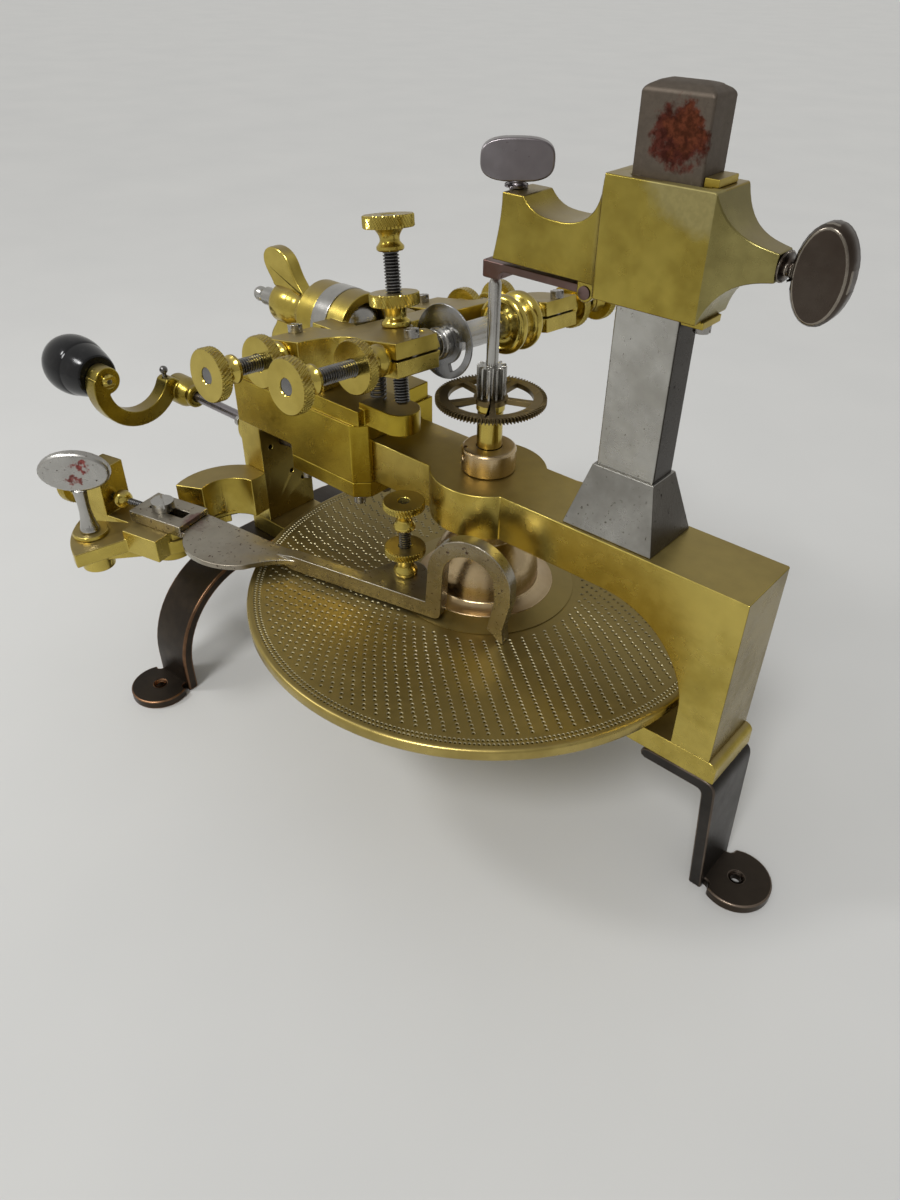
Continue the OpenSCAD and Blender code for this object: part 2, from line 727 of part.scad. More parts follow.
module dividing_plate() {
    pitch = (plate_r - hub_flange_r - 12) / circle_count;
    color(brass) difference() {
        translate([0, 0, plate_z]) rotate_extrude() polygon([[spindle_r + fit, 0], [plate_r - 0.8, 0],
            [plate_r, 0.8],
            [plate_r, plate_t - 0.8], [plate_r - 0.8, plate_t], [spindle_r + fit, plate_t]]);
        for (i = [0 : circle_count - 1]) let (n = circle_holes - 6 * i, r = plate_r - 3 - pitch * i)
            for (k = [0 : n - 1]) rotate(k * 360 / n) translate([r, 0, plate_top - 1.2])
                cylinder(r = index_hole_r, h = 2);
    }
}

module plate_hub() {
    flank = 7;
    top = bed_z - gap;
    color(bronze) translate([0, 0, plate_top]) rotate_extrude() polygon(concat(
        [[spindle_r + fit, 0], [hub_flange_r, 0], [hub_flange_r, 1.6]],
        curve([[hub_flange_r, 2.1], [hub_r + 3, 2.3], [hub_r + 1, 3], [hub_r, 4]], 6),
        [[hub_r, flank]],
        curve([[hub_r, flank + 0.8], [hub_r - 1, flank + 9], [hub_r * 0.7, flank + 14], [12, flank + 16]],
            10),
        [[12, top - plate_top - 3], [13.5, top - plate_top - 3], [13.5, top - plate_top],
            [spindle_r + fit, top - plate_top]]));
}

module spindle() {
    nose_top = collar_top + holder_h * 0.55;
    color(steel) rotate_extrude() polygon([[0, spindle_z + 3.4], [2.9, spindle_z],
        [spindle_r, spindle_z], [spindle_r, bed_z - gap], [journal_r, bed_z - gap], [journal_r, bed_top],
        [nose_r + 1.4, bed_top], [nose_r + 1.4, collar_top - 2], [nose_r, collar_top - 2], [nose_r, nose_top],
        [0, nose_top]]);
}

module spindle_collar() {
    color(bronze) difference() {
        translate([0, 0, bed_top + fit]) rotate_extrude() polygon([[nose_r + 1.4 + fit, 0],
            [collar_r - 0.4, 0],
            [collar_r, 0.4], [collar_r, collar_h - 0.8 - fit], [collar_r - 0.8, collar_h - fit],
            [nose_r + 1.4 + fit, collar_h - fit]]);
        rotate(-120) translate([0, 0, bed_top + collar_h * 0.6]) rod_x(collar_r - 3, 1, 4);
    }
}

module spindle_point() {
    r = 4;
    tip = spindle_z + 3.4 - fit - 0.1;
    color(steel) difference() {
        rotate_extrude() polygon([[0, lower_bar_z - 3.4], [5.5, lower_bar_z - 3.4], [6, lower_bar_z - 2.9],
            [6, lower_bar_z], [r, lower_bar_z], [r, spindle_z - 1.2], [2.9, spindle_z - fit - 0.1],
                [0, tip]]);
        translate([-7, -0.5, lower_bar_z - 3.5]) cube([14, 1, 1.5]);
    }
}

module point_lock_nut() {
    nut_h = min(4, plate_z - lower_top - 1.5);
    color(steel) translate([0, 0, lower_top]) difference() {
        cylinder(r = 8.4, h = nut_h, $fn = 6);
        translate([0, 0, -1]) cylinder(r = 4 + fit, h = nut_h + 2, $fn = 72);
    }
}

module work_holder() {
    color(brass) difference() {
        translate([0, 0, collar_top]) rotate_extrude() polygon([[0, 0], [holder_r, 0],
            [holder_r, holder_h - 3],
            [holder_r + 0.5, holder_h - 2.6], [holder_r + 0.5, holder_h - 0.4],
                [holder_r + 0.1, holder_h], [0, holder_h]]);
        translate([0, 0, collar_top - 1]) cylinder(r = nose_r + fit, h = holder_h * 0.55 + 1 + fit);
        translate([0, 0, wheel_z - 4]) cylinder(r = arbor_r - 0.4 + fit, h = 5);
    }
}

// Outline of a toothed wheel with n pointed-arch teeth
module teeth_2d(r, n, depth) {
    step = 360 / n;
    polygon([for (i = [0 : n - 1], q = [[-0.27, 0], [-0.14, 1], [0.14, 1], [0.27, 0]])
        (r - depth + depth * q[1]) * [cos((i + q[0]) * step), sin((i + q[0]) * step)]]);
}

module work_wheel() {
    rim = wheel_r * 0.76;
    color(brass) translate([0, 0, wheel_z]) difference() {
        linear_extrude(wheel_t) difference() {
            teeth_2d(wheel_r, wheel_teeth, 1.5);
            for (i = [0 : 4]) rotate(i * 72 - 49)
                polygon(concat(arc([0, 0], rim, 5, 67, 18), arc([0, 0], pinion_r + 0.8, 61, 11, 8)));
        }
        translate([0, 0, -1]) cylinder(r = arbor_r - 0.4 + fit, h = wheel_t + 2);
    }
}

module work_arbor() {
    color(steel) {
        rotate_extrude() polygon([[0, wheel_z - 3.6], [arbor_r - 0.4, wheel_z - 3.6],
            [arbor_r - 0.4, wheel_top],
            [arbor_r, wheel_top], [arbor_r, arbor_top - 3], [0.5, arbor_top], [0, arbor_top]]);
        translate([0, 0, wheel_top]) linear_extrude(pinion_h) teeth_2d(pinion_r, pinion_leaves, 1.9);
    }
}

// Saddle, lead screw and crank

module saddle() {
    step_h = 6;
    inset = 1.2;
    short_z = bed_z + bed_h * 0.25;
    lug = pivot_x + stop_x - saddle_right + 4.6;
    color(brass) difference() {
        union() {
            translate([saddle_left, -saddle_half, short_z])
                cube([saddle_len, 2 * saddle_half, saddle_top - step_h - short_z]);
            translate([saddle_left + inset, inset - saddle_half, saddle_top - step_h - 1])
                cube([saddle_len - 2 * inset, 2 * (saddle_half - inset), step_h + 1]);
            translate([deep_left, -saddle_half, gib_top]) cube([deep_len, 2 * saddle_half, bed_h]);
            translate([0, 0, saddle_top - step_h]) linear_extrude(anvil_top - saddle_top + step_h) {
                translate([saddle_right - 4, stop_y - 7]) square([lug, 14]);
                translate([saddle_right + lug - 4, stop_y]) circle(r = 7);
            }
        }
        translate([saddle_left - 1, -half_w - slide, 0]) cube([saddle_len + 2, bed_w + 2 * slide,
            bed_top + slide]);
        saddle_screw_places() cylinder(r = 1.5 + fit, h = gib_plate_t + 10);
    }
}

module saddle_screw_places() {
    for (x = [deep_left + 5, saddle_right - 5], s = [-1, 1])
        translate([x, s * (saddle_half - cheek_t / 2), gib_z]) children();
}

module saddle_gib_plate() {
    color(brass) difference() {
        translate([deep_left, -saddle_half, gib_z]) cube([deep_len, 2 * saddle_half, gib_plate_t]);
        saddle_screw_places() translate([0, 0, -1]) cylinder(r = 1.5 + fit, h = gib_plate_t + 2);
    }
}

module saddle_screws() {
    color(steel) saddle_screw_places() cheese_screw(1.5, gib_plate_t + 9, 2.3, 3);
}

// Coil of round wire up +Z, swept ring by ring
module coil(r, wire, height, turns) {
    rings = turns * 12;
    sides = 8;
    pts = [for (i = [0 : rings], k = [0 : sides - 1]) let (a = i * 30, b = k * 360 / sides)
        [(r + wire * cos(b)) * cos(a), (r + wire * cos(b)) * sin(a), wire + (height - 2 * wire)
            * i / rings + wire * sin(b)]];
    polyhedron(pts, concat([[for (k = [sides - 1 : -1 : 0]) k]],
        [for (i = [0 : rings - 1], k = [0 : sides - 1]) let (a = i * sides, b = (k + 1) % sides)
            [a + k, a + b, a + sides + b, a + sides + k]],
        [[for (k = [0 : sides - 1]) rings * sides + k]]), convexity = 6);
}

module return_spring() {
    under_fork = swivel_z + (spring_x - pivot_x) * sin(swing) - fork_h / 2;
    color(black_steel) translate([spring_x, stop_y, anvil_top])
        coil(2.6, 0.55, under_fork - anvil_top - 2, 8);
}

module lead_screw() {
    color(black_steel) translate([0, 0, lead_z]) {
        rod_x(bed_left - bearing_t - gap, lead_journal_r, bearing_t + leg_left_w + gap + 2);
        rod_x(leg_left_x + 1, lead_r, lead_right - leg_left_x - 1);
        rod_x(crank_x + 1, lead_r - 0.4, bed_left - bearing_t - crank_x);
    }
}

module lead_nut() {
    color(bronze) difference() {
        translate([deep_left + 8, -7, lead_z - 5]) cube([nut_len, 14, gib_z - lead_z + 5]);
        translate([0, 0, lead_z]) rod_x(deep_left, lead_r + fit, deep_len);
    }
}

module bearing_block() {
    color(brass) difference() {
        translate([0, 0, lead_z]) union() {
            rod_x(bed_left - bearing_t, 9, bearing_t);
            rod_x(bed_left - bearing_t - 1.4, bearing_collar_r, 2);
        }
        translate([0, 0, lead_z]) rod_x(bed_left - bearing_t - 3, lead_journal_r + fit, bearing_t + 4);
        bearing_screw_places() rod_x(-bearing_t - 1, 1.5, bearing_t + 2);
    }
}

module crank_arm() {
    c = [-crank_y * 0.62, crank_z * 0.76];
    curl = [-crank_y, crank_z];
    r_mid = norm(curl - c) + 3.2;
    color(brass) difference() {
        union() {
            translate([0, 0, lead_z]) along(crank_x - crank_t, crank_t) {
                translate(c) ring_2d(r_mid - scroll_w / 2, r_mid + scroll_w / 2, 165, 335);
                bar_2d(c + r_mid * [cos(335), sin(335)], [0, 0], scroll_w);
                translate(curl) circle(r = scroll_w * 0.86);
                circle(r = scroll_w);
            }
            translate([crank_x, 0, lead_z]) rotate([0, 90, 0]) rotate_extrude() polygon(concat([[0, 0]],
                curve([[7, 0], [7, 3], [5, 5], [4.6, 6]], 6), [[5.4, 6.6], [5.4, 8.6], [4.4, 9.4],
                    [0, 9.4]]));
        }
        translate([0, 0, lead_z]) rod_x(crank_x - crank_t - 1, lead_r - 0.4 + fit, crank_t + 14);
        translate([0, -crank_y, lead_z + crank_z]) rod_x(crank_x - crank_t - 1, 2 + fit, crank_t + 2);
        taper_pin_place() translate([0, 0, -6]) cylinder(r = 1 + fit, h = 20);
    }
}

module taper_pin_place() {
    translate([crank_x - crank_t / 2, -crank_y * 0.2, lead_z + scroll_w * 1.3]) children();
}

// Pin of the crank's knob and the taper pin that holds the crank on its shaft
module crank_pins() {
    color(steel) {
        translate([0, -crank_y, lead_z + crank_z]) {
            rod_x(crank_x - crank_t - knob_len + 4, 2, crank_t + knob_len - 4);
            rod_x(crank_x, 3.2, 1.2);
        }
        taper_pin_place() {
            translate([0, 0, -6]) cylinder(r = 1, h = 9);
            translate([0, 0, 3]) sphere(r = 1.9);
        }
    }
}

module crank_knob() {
    base = crank_x - crank_t - gap;
    color(ebony) translate([base, -crank_y, lead_z + crank_z]) rotate([0, -90, 0]) rotate_extrude()
        polygon(concat(
        [[2 + fit, 0], [knob_r * 0.52, 0]],
        curve([[knob_r * 0.52, 0.5], [knob_r * 0.75, knob_len * 0.12], [knob_r * 1.02, knob_len * 0.34],
            [knob_r, knob_len * 0.6]], 8),
        curve([[knob_r, knob_len * 0.6], [knob_r * 0.98, knob_len * 0.86], [knob_r * 0.55, knob_len],
            [0, knob_len]], 10),
        [[0, knob_len - 3.5], [2 + fit, knob_len - 3.5]]));
}

// Swivel and swing frame

module swivel_pedestal() {
    foot_half = drum_r + 2;
    x = pivot_x + drum_x[1] - pedestal_t;
    color(brass) difference() {
        union() {
            along(x, pedestal_t) {
                translate([0, swivel_z]) circle(r = drum_r);
                polygon([[-foot_half, saddle_top], [foot_half, saddle_top], [foot_half, saddle_top + 3],
                    [drum_r * 0.8, swivel_z - drum_r * 0.6], [-drum_r * 0.8, swivel_z - drum_r * 0.6],
                    [-foot_half, saddle_top + 3]]);
            }
            translate([x - 1, -foot_half, saddle_top]) cube([pedestal_t + 8, 2 * foot_half, 3]);
        }
        translate([0, 0, swivel_z]) rod_x(x - 9, shaft_r + fit, pedestal_t + 18);
    }
}

module swivel_ring() {
    color(steel) translate([pivot_x, 0, swivel_z]) difference() {
        rod_x(drum_x[1], drum_r + 0.3, drum_x[2] - drum_x[1] - fit);
        rod_x(drum_x[1] - 1, shaft_r + fit, drum_x[2] - drum_x[1] + 2);
    }
}

module swivel_head() {
    color(brass) at_swivel() difference() {
        union() {
            rod_x(drum_x[2], drum_r, drum_x[3] - drum_x[2]);
            for (s = [-1, 1]) scale([1, s, 1]) trunnion();
        }
        rod_x(drum_x[2] - 1, shaft_r + fit, 20);
        rod_x(drum_x[3] - 3, drum_r - 3.4, 20);
        for (s = [-1, 1]) scale([1, s, 1]) translate([0, trunnion_y - 2.6, 0]) rotate([-90, 0, 0])
            cylinder(r1 = 0, r2 = 2.8, h = 2.8);
    }
}

module trunnion() {
    inner = drum_r - 3;
    translate([drum_x[2] + 2, inner, -trunnion_r]) cube([-drum_x[2] - 2, trunnion_y - inner, 2 * trunnion_r]);
    rod_y(inner, trunnion_r, trunnion_y - inner);
}

module swivel_shaft() {
    dome_r = drum_r - 3.8;
    left = drum_x[1] - pedestal_t;
    ball = left - 32;
    color(steel) at_swivel() {
        intersection() {
            rod_x(drum_x[3] - 3 + fit, dome_r, 8);
            translate([drum_x[3] - 3 - dome_r * 0.8, 0, 0]) sphere(r = dome_r * 1.28);
        }
        rod_x(left, shaft_r, drum_x[3] - left - 1);
        rod_x(ball, thread_r, left - ball + 1);
        rod_x(ball - 2.4, 1.8, 4);
        translate([ball - 4, 0, 0]) sphere(r = 2.9);
    }
}

module wing_nut() {
    face = drum_x[1] - pedestal_t - gap;
    paddle_r = 9;
    wing_turn = 4;
    color(brass) at_swivel() rotate([wing_turn, 0, 0]) difference() {
        union() {
            translate([face, 0, 0]) rotate([0, -90, 0]) rotate_extrude()
                polygon(concat([[thread_r + fit, 0], [9, 0], [9, 1.4]],
                curve([[8.4, 1.6], [6, 2], [6, 4], [7.6, 5]], 6), [[7.6, 6.6], [6.4, 7.4]],
                curve([[6.4, 7.4], [5.6, 10], [7, 12], [7.6, 13.6]], 6),
                    [[7.6, 22], [6.6, 23], [thread_r + fit, 23]]));
            for (s = [-1, 1]) scale([1, 1, s]) {
                translate([face - 18.6, 0, wing_r - paddle_r]) rotate([90, 0, 0]) rotate_extrude()
                    polygon([[0, -2.4], [paddle_r - 2, -2], [paddle_r, 0], [paddle_r - 2, 2], [0, 2.4]]);
                translate([0, 0, 4.4]) across(4) polygon([[face - 23, 0], [face - 13, 0],
                    [face - 13, wing_r - paddle_r - 4],
                    [face - 22, wing_r - paddle_r - 4]]);
            }
        }
        rod_x(face - 30, thread_r + fit, 40);
    }
}

// Outline of the swing frame seen from above
module fork_2d() {
    end_x = swing_len + fork_end;
    pivot_out = arm_half + fork_end_w + 1.6;
    front = -cutter_front;
    back = cutter_back;
    front_out = front - fork_end_w;
    back_out = back + fork_end_w;
    waist = bridge_x + bridge_w;
    polygon(concat([[-fork_end, -arm_half], [-fork_end, -pivot_out], [bridge_x + 3, -pivot_out]],
        curve([[bridge_x + 3, -pivot_out], [bridge_x + 4, front_out + 1], [waist - 1, front_out + 4],
            [swing_len - 8, front_out]], 10),
        [[end_x, front_out], [end_x, front], [waist + 7, front]],
        curve([[waist + 4, front], [waist + 1, front], [waist, front + 1], [waist, front + 4]], 6),
        [[waist, arm_half - 4]],
        curve([[waist, arm_half], [waist, back - 6], [swing_len - 14, back], [swing_len - 8, back]], 10),
        [[end_x, back], [end_x, back_out], [swing_len - 8, back_out]],
        curve([[swing_len - 8, back_out], [waist - 3, back_out], [bridge_x + 8, pivot_out],
            [bridge_x + 3, pivot_out]], 10),
        [[-fork_end, pivot_out], [-fork_end, arm_half], [bridge_x, arm_half], [bridge_x, -arm_half]]));
}

module swing_frame() {
    clamp_x = swing_len + clamp_off;
    slit = 0.7;
    color(brass) at_fork() difference() {
        union() {
            translate([0, 0, -fork_h / 2]) linear_extrude(fork_h) {
                fork_2d();
                translate([stop_x, stop_y]) circle(r = stop_ear_r);
            }
            translate([swing_len, 0, 0]) rod_y(-cutter_front - 1, fork_h / 2 + 0.6, 3);
            translate([swing_len, 0, 0]) rod_y(cutter_back - 2, fork_h / 2 + 0.6, 3);
        }
        rod_y(-200, screw_r + fit, 400);
        translate([swing_len, 0, 0]) rod_y(-200, screw_r + fit, 400);
        translate([swing_len - 9, -200, -slit / 2]) cube([30, 400, slit]);
        translate([-20, -200, -slit / 2]) cube([26, 400, slit]);
        clamp_screw_places() translate([0, 0, -fork_h - 1]) cylinder(r = 1.4 + fit, h = 2 * fork_h);
        translate([stop_x, stop_y, -fork_h]) cylinder(r = screw_r + fit, h = 2 * fork_h);
    }
}

module clamp_screw_places() {
    for (p = [[-clamp_off, -arm_half - fork_end_w / 2], [-clamp_off, arm_half + fork_end_w / 2],
            [swing_len + clamp_off, -cutter_front - fork_end_w / 2],
                [swing_len + clamp_off, cutter_back + fork_end_w / 2]])
        translate([p[0], p[1], fork_h / 2]) children();
}

// Places of the facing screws: front, then back, as [x, y of the arm's outer face, y of the point]
function pivot_at(s) = [0, s * (arm_half + fork_end_w + 1.6), s * (trunnion_y - 2.4)];
spindle_ends = [2.2 - cutter_front, cutter_back - 2.2];
function centre_at(s) = s < 0 ? [swing_len, -cutter_front - fork_end_w, spindle_ends[0] - 2.3]
    : [swing_len, cutter_back + fork_end_w, spindle_ends[1] + 2.3];

// Screw through an arm: nut seated on the arm, head beyond it, point at its centre
module facing_screw(p, s, boss_h, thread) {
    reach = boss_h + head_t + thread + 7 + head_t;
    translate([p[0], p[1] + s * reach, 0]) rotate([-90 * s, 0, 0])
        knurled_screw(abs(p[1] + s * reach - p[2]));
}

module facing_nut(p, s, boss_h) {
    translate([p[0], p[1] + s * (boss_h + head_t), 0]) rotate([-90 * s, 0, 0]) knurled_nut(boss_h);
}

module pivot_screws() {
    color(brass) at_fork() for (s = [-1, 1]) facing_screw(pivot_at(s), s, 5.5, s < 0 ? 9 : 11);
}

module pivot_lock_nuts() {
    color(brass) at_fork() for (s = [-1, 1]) facing_nut(pivot_at(s), s, 5.5);
}

module centre_screws() {
    color(brass) at_fork() for (s = [-1, 1]) facing_screw(centre_at(s), s, s < 0 ? 9 : 4, s < 0 ? 15 : 8);
}

module centre_lock_nuts() {
    color(brass) at_fork() for (s = [-1, 1]) facing_nut(centre_at(s), s, s < 0 ? 9 : 4);
}

module clamp_screws() {
    color(steel) at_fork() clamp_screw_places() rotate([180, 0, 0])
        cheese_screw(1.4, fork_h - 0.6, 2.5, 2.8);
}

// Height of the swing frame's axis plane over the stop on the saddle, along the stop screw
stop_drop = (swivel_z - anvil_top + stop_x * sin(swing) - stop_y * sin(tilt) - stop_gap) / cos(swing);

module stop_screw() {
    top = fork_h / 2 + stop_boss_h + head_t + stop_thread + 7 + head_t;
    color(brass) at_fork() translate([stop_x, stop_y, top]) knurled_screw(top + stop_drop, point = false);
}

module stop_lock_nut() {
    color(brass) at_fork() translate([stop_x, stop_y, fork_h / 2 + stop_boss_h + head_t])
        knurled_nut(stop_boss_h);
}

// Cutter spindle

module at_cutter() {
    at_fork() translate([swing_len, 0, 0]) rotate([-90, 0, 0]) children();
}

module cutter_spindle() {
    y0 = spindle_ends[0];
    y1 = spindle_ends[1];
    pulley_y = cutter_back - 6 - pulley_w;
    color(steel) at_cutter() difference() {
        rotate_extrude() polygon([[0, y0], [2.4, y0], [3.4, y0 + 1], [3.4, cutter_t / 2],
            [5, cutter_t / 2], [5, 5],
            [4.6, 6], [4.6, pulley_y], [3.4, pulley_y], [3.4, y1 - 1], [2.4, y1], [0, y1]]);
        for (e = [[y0, 1], [y1, -1]]) translate([0, 0, e[0]]) scale([1, 1, e[1]]) translate([0, 0, -0.01])
            cylinder(r1 = 2, r2 = 0, h = 2.01);
    }
}

module cutter() {
    color(steel) at_cutter() translate([0, 0, -cutter_t / 2]) difference() {
        rotate_extrude() polygon([[3.4 + fit, 0], [cutter_r - 2, 0], [cutter_r, cutter_t * 0.3],
            [cutter_r, cutter_t * 0.7],
            [cutter_r - 2, cutter_t], [3.4 + fit, cutter_t]]);
        translate([0, 0, -1]) linear_extrude(cutter_t + 2) ring_2d(cutter_r - 5, cutter_r - 2.4, -5, 75);
    }
}

module cutter_collar() {
    color(steel) at_cutter() rotate_extrude() polygon([[3.4 + fit, -cutter_t / 2], [5.4, -cutter_t / 2],
        [5.4, -3.6], [4.8, -4.2],
        [4.8, -5.6], [3.4 + fit, -5.6]]);
}

module belt_pulley() {
    w = pulley_w;
    color(brass) at_cutter() translate([0, 0, cutter_back - 6 - w]) rotate_extrude() polygon(concat(
        [[3.4 + fit, 0], [pulley_r * 0.86, 0]],
        curve([[pulley_r * 0.86, 1], [6, w * 0.12], [6, w * 0.34], [pulley_r * 0.9, w * 0.5]], 8),
        curve([[pulley_r, w * 0.52], [6.4, w * 0.58], [6.4, w * 0.84], [pulley_r, w - 1]], 8),
        [[pulley_r, w], [3.4 + fit, w]]));
}

// Index arm and its bracket

module bracket_arm() {
    c = [leg_left_x + 3, -half_w - 21];
    r0 = 12.6;
    r1 = 25;
    pivot = [pivot_s * cos(arm_angle) + arm_off * sin(arm_angle), pivot_s * sin(arm_angle)
        - arm_off * cos(arm_angle)];
    thumb = pivot + thumb_dist * [cos(thumb_dir + arm_angle), sin(thumb_dir + arm_angle)];
    low = bracket_top - bracket_t;
    bar_t = 5.4;
    color(brass) difference() {
        union() {
            translate([0, 0, lower_top + 7]) linear_extrude(18) difference() {
                translate(c) ring_2d(r0, r1, 96, 207);
                translate([leg_left_x - 30, -half_w]) square(60);
            }
            translate([0, 0, bracket_top - bar_t]) linear_extrude(bar_t) {
                translate(c) ring_2d(r0, r1, 150, 207);
                bar_2d(c + (r0 + r1) / 2 * [cos(203), sin(203)], pivot, 10);
                translate(pivot) circle(r = 9);
                bar_2d(pivot, thumb, 8);
            }
            translate([thumb[0], thumb[1], low]) cylinder(r = 6.6, h = bracket_t);
        }
        bracket_screw_places() rod_y(-7, 1.6, 8);
        translate([pivot[0], pivot[1], low - 1]) cylinder(r = 2 + fit, h = bracket_t + 2);
        translate([thumb[0], thumb[1], low - 1]) cylinder(r = thumb_r + fit, h = bracket_t + 2);
    }
}

// Frame of the sector: origin on its pivot at the index arm's centre line
module at_sector() {
    at_index() translate([pivot_s, -arm_off, 0]) children();
}

module sector_plate() {
    span = 26;
    slot = 9;
    color(brass) at_sector() difference() {
        union() {
            translate([0, 0, sector_z]) linear_extrude(sector_t) {
                circle(r = 13);
                ring_2d(1, thumb_dist + 8, thumb_dir - span + 8, thumb_dir + span);
                translate([block_x, -6]) square([-block_x, 14]);
            }
            translate([0, 0, sector_z]) cylinder(r = 11.6, h = foot_z - sector_z);
            translate([-9, -16, sector_z - 1]) cube([18, 12, foot_z - sector_z + 1]);
            translate([block_x, -6, sector_z]) cube([block_w, 14, tangent_z + 14 - sector_z]);
        }
        translate([0, 0, sector_z - 2]) cylinder(r = 2 + fit, h = 30);
        translate([0, 0, sector_z - 1]) linear_extrude(sector_t + 2) {
            ring_2d(thumb_dist - thumb_r - gap, thumb_dist + thumb_r + gap, thumb_dir - slot,
                thumb_dir + slot);
            for (a = [-slot, slot]) rotate(thumb_dir + a) translate([thumb_dist, 0])
                circle(r = thumb_r + gap);
        }
        translate([0, 0, tangent_z]) rod_x(block_x - 1, tangent_r + fit, block_w + 4);
        translate([-20, -30, sector_z - 20]) cube([40, 60, 20]);
    }
}

module at_thumb() {
    at_sector() rotate(thumb_dir) translate([thumb_dist, 0, sector_top]) rotate(-thumb_dir) children();
}

module thumbscrew_washer() {
    color(brass) at_thumb() translate([0, 0, fit]) difference() {
        cylinder(r1 = 7.4, r2 = 7, h = 1.6);
        translate([0, 0, -1]) cylinder(r = thumb_r + fit, h = 4);
    }
}

module sector_thumbscrew() {
    color(steel) at_thumb() translate([0, 0, 1.6 + 2 * fit]) rotate([0, 0, 32])
        thumb_screw(sector_t + bracket_t + 1, thumb_r, 28, 17, 4.6, 19);
}

module tangent_screw() {
    ball_r = 4;
    color(brass) at_sector() translate([0, 0, tangent_z]) rotate([0, -90, 0]) {
        translate([0, 0, -block_x + fit]) rotate_extrude() polygon(concat([[0, 14]],
            [[1.6, 14], [1.6, 14.4], [head_r - 0.6, 14.4],
            [head_r, 13.8], [head_r, 11], [head_r - 0.6, 10.4]],
                curve([[5, 10.4], [2.6, 8], [2.6, 4], [4.6, 1]], 8), [[4.6, 0], [0, 0]]));
        translate([0, 0, -block_x - block_w - ball_r - 0.8]) difference() {
            sphere(r = ball_r);
            translate([0, 0, 9.2 - ball_r]) cube(10, center = true);
        }
        translate([0, 0, -block_x - 32.5]) cylinder(r = tangent_r, h = 33.5);
    }
}

module index_foot() {
    x0 = foot_left_s - pivot_s;
    slot_w = 4.6;
    color(steel) at_sector() difference() {
        translate([x0, -index_foot_w / 2, foot_z]) cube([index_foot_len, index_foot_w, index_foot_t]);
        translate([0, 0, foot_z - 1]) linear_extrude(index_foot_t + 2) translate([x0 + 5, -slot_w / 2])
            square([18, slot_w]);
        translate([0, 0, tangent_z]) rod_x(x0 - 1, tangent_r + fit, 10);
    }
}

module index_foot_screw() {
    top = foot_z + index_foot_t + fit;
    color(steel) at_sector() translate([0, 0, top]) rotate([180, 0, 0]) rotate(40)
        cheese_screw(2, top - bracket_top + bracket_t - 1, 4.6, 3.6);
}

module index_arm() {
    bar_s = root_s + 46;
    bend_s = tip_s - 31;
    loop_c = [tip_s - 14, index_z + 20.6];
    w = 6;
    tip_z = plate_top + gap;
    leaf_z = foot_z + 0.6;
    color(steel) at_index() translate([0, -arm_off, 0]) {
        translate([0, 0, leaf_z]) linear_extrude(2.2) polygon(concat(
            [[root_s, index_foot_w / 2 - 0.6], [root_s, -index_foot_w / 2]],
            curve([[root_s + 2, -index_foot_w / 2], [root_s + 6, -index_foot_w - 2],
                [root_s + 22, -index_foot_w - 6], [root_s + 34, -16]]),
            curve([[root_s + 36, -14.6], [root_s + 42, -7], [bar_s, -4], [bar_s + 6, -index_bar_t / 2]], 8),
            curve([[bar_s + 6, index_bar_t / 2], [bar_s - 8, index_bar_t / 2 + 1], [root_s + 20, 6],
                [root_s, index_foot_w / 2 - 0.6]], 8)));
        across(index_bar_t) polygon(concat([[bar_s - 4, leaf_z], [bar_s + 4, index_z], [bend_s + 2, index_z]],
            arc([bend_s + w - 3, index_z + 3], 3, -90, 0, 4),
            arc(loop_c, loop_r, 180, 20, 20), [[loop_c[0] + loop_r, loop_c[1] - 4],
                [tip_s - 6.4, tip_z + 4.6], [tip_s - 0.8, tip_z]],
            [[tip_s + 0.2, tip_z], [tip_s - 0.6, tip_z + 5.4], [loop_c[0] + loop_r + w, loop_c[1] - 4]],
            arc(loop_c, loop_r + w, 10, 180, 24), [[bend_s, index_z + index_bar_h],
                [bar_s + 4, index_z + index_bar_h],
            [bar_s - 4, leaf_z + 2.2]]));
        difference() {
            translate([0, 0, index_z + index_bar_h - index_shelf_t]) linear_extrude(index_shelf_t)
                polygon(concat([[bend_s - 30, index_bar_t / 2 - 1], [bend_s + 1, index_bar_t / 2 - 1],
                    [bend_s + 1, 8]],
                    arc([knob_s, knob_n], 8.4, 40, 150, 8)));
            index_screw_place() translate([0, 0, -10]) cylinder(r = screw_r - 0.5 + fit, h = 12);
        }
    }
}

module index_screw_place() {
    translate([knob_s, knob_n, index_z + index_bar_h]) children();
}

module at_index_screw() {
    at_index() translate([0, -arm_off, 0]) index_screw_place() children();
}

module index_screw() {
    top = 8 + head_t + 6 + 7 + head_t;
    color(brass) at_index_screw() translate([0, 0, top])
        knurled_screw(top + index_shelf_t + 0.6, r = screw_r - 0.5, point = false);
}

module index_lock_nut() {
    color(brass) at_index_screw() translate([0, 0, 8 + head_t]) knurled_nut(8, r = screw_r - 0.5);
}

frame();
lower_bar();
frame_screws();
right_foot();
left_feet();
foot_pads();
column();
overarm();
overarm_gib();
gib_screw();
overarm_clamp_screw();
centre_finger();
finger_pin();
finger_thumbscrew();
dividing_plate();
plate_hub();
spindle();
spindle_collar();
spindle_point();
point_lock_nut();
work_holder();
work_wheel();
work_arbor();
saddle();
saddle_gib_plate();
saddle_screws();
return_spring();
lead_screw();
lead_nut();
bearing_block();
crank_arm();
crank_pins();
crank_knob();
swivel_pedestal();
swivel_ring();
swivel_head();
swivel_shaft();
wing_nut();
swing_frame();
pivot_screws();
pivot_lock_nuts();
centre_screws();
centre_lock_nuts();
clamp_screws();
stop_screw();
stop_lock_nut();
cutter_spindle();
cutter();
cutter_collar();
belt_pulley();
bracket_arm();
sector_plate();
sector_thumbscrew();
thumbscrew_washer();
tangent_screw();
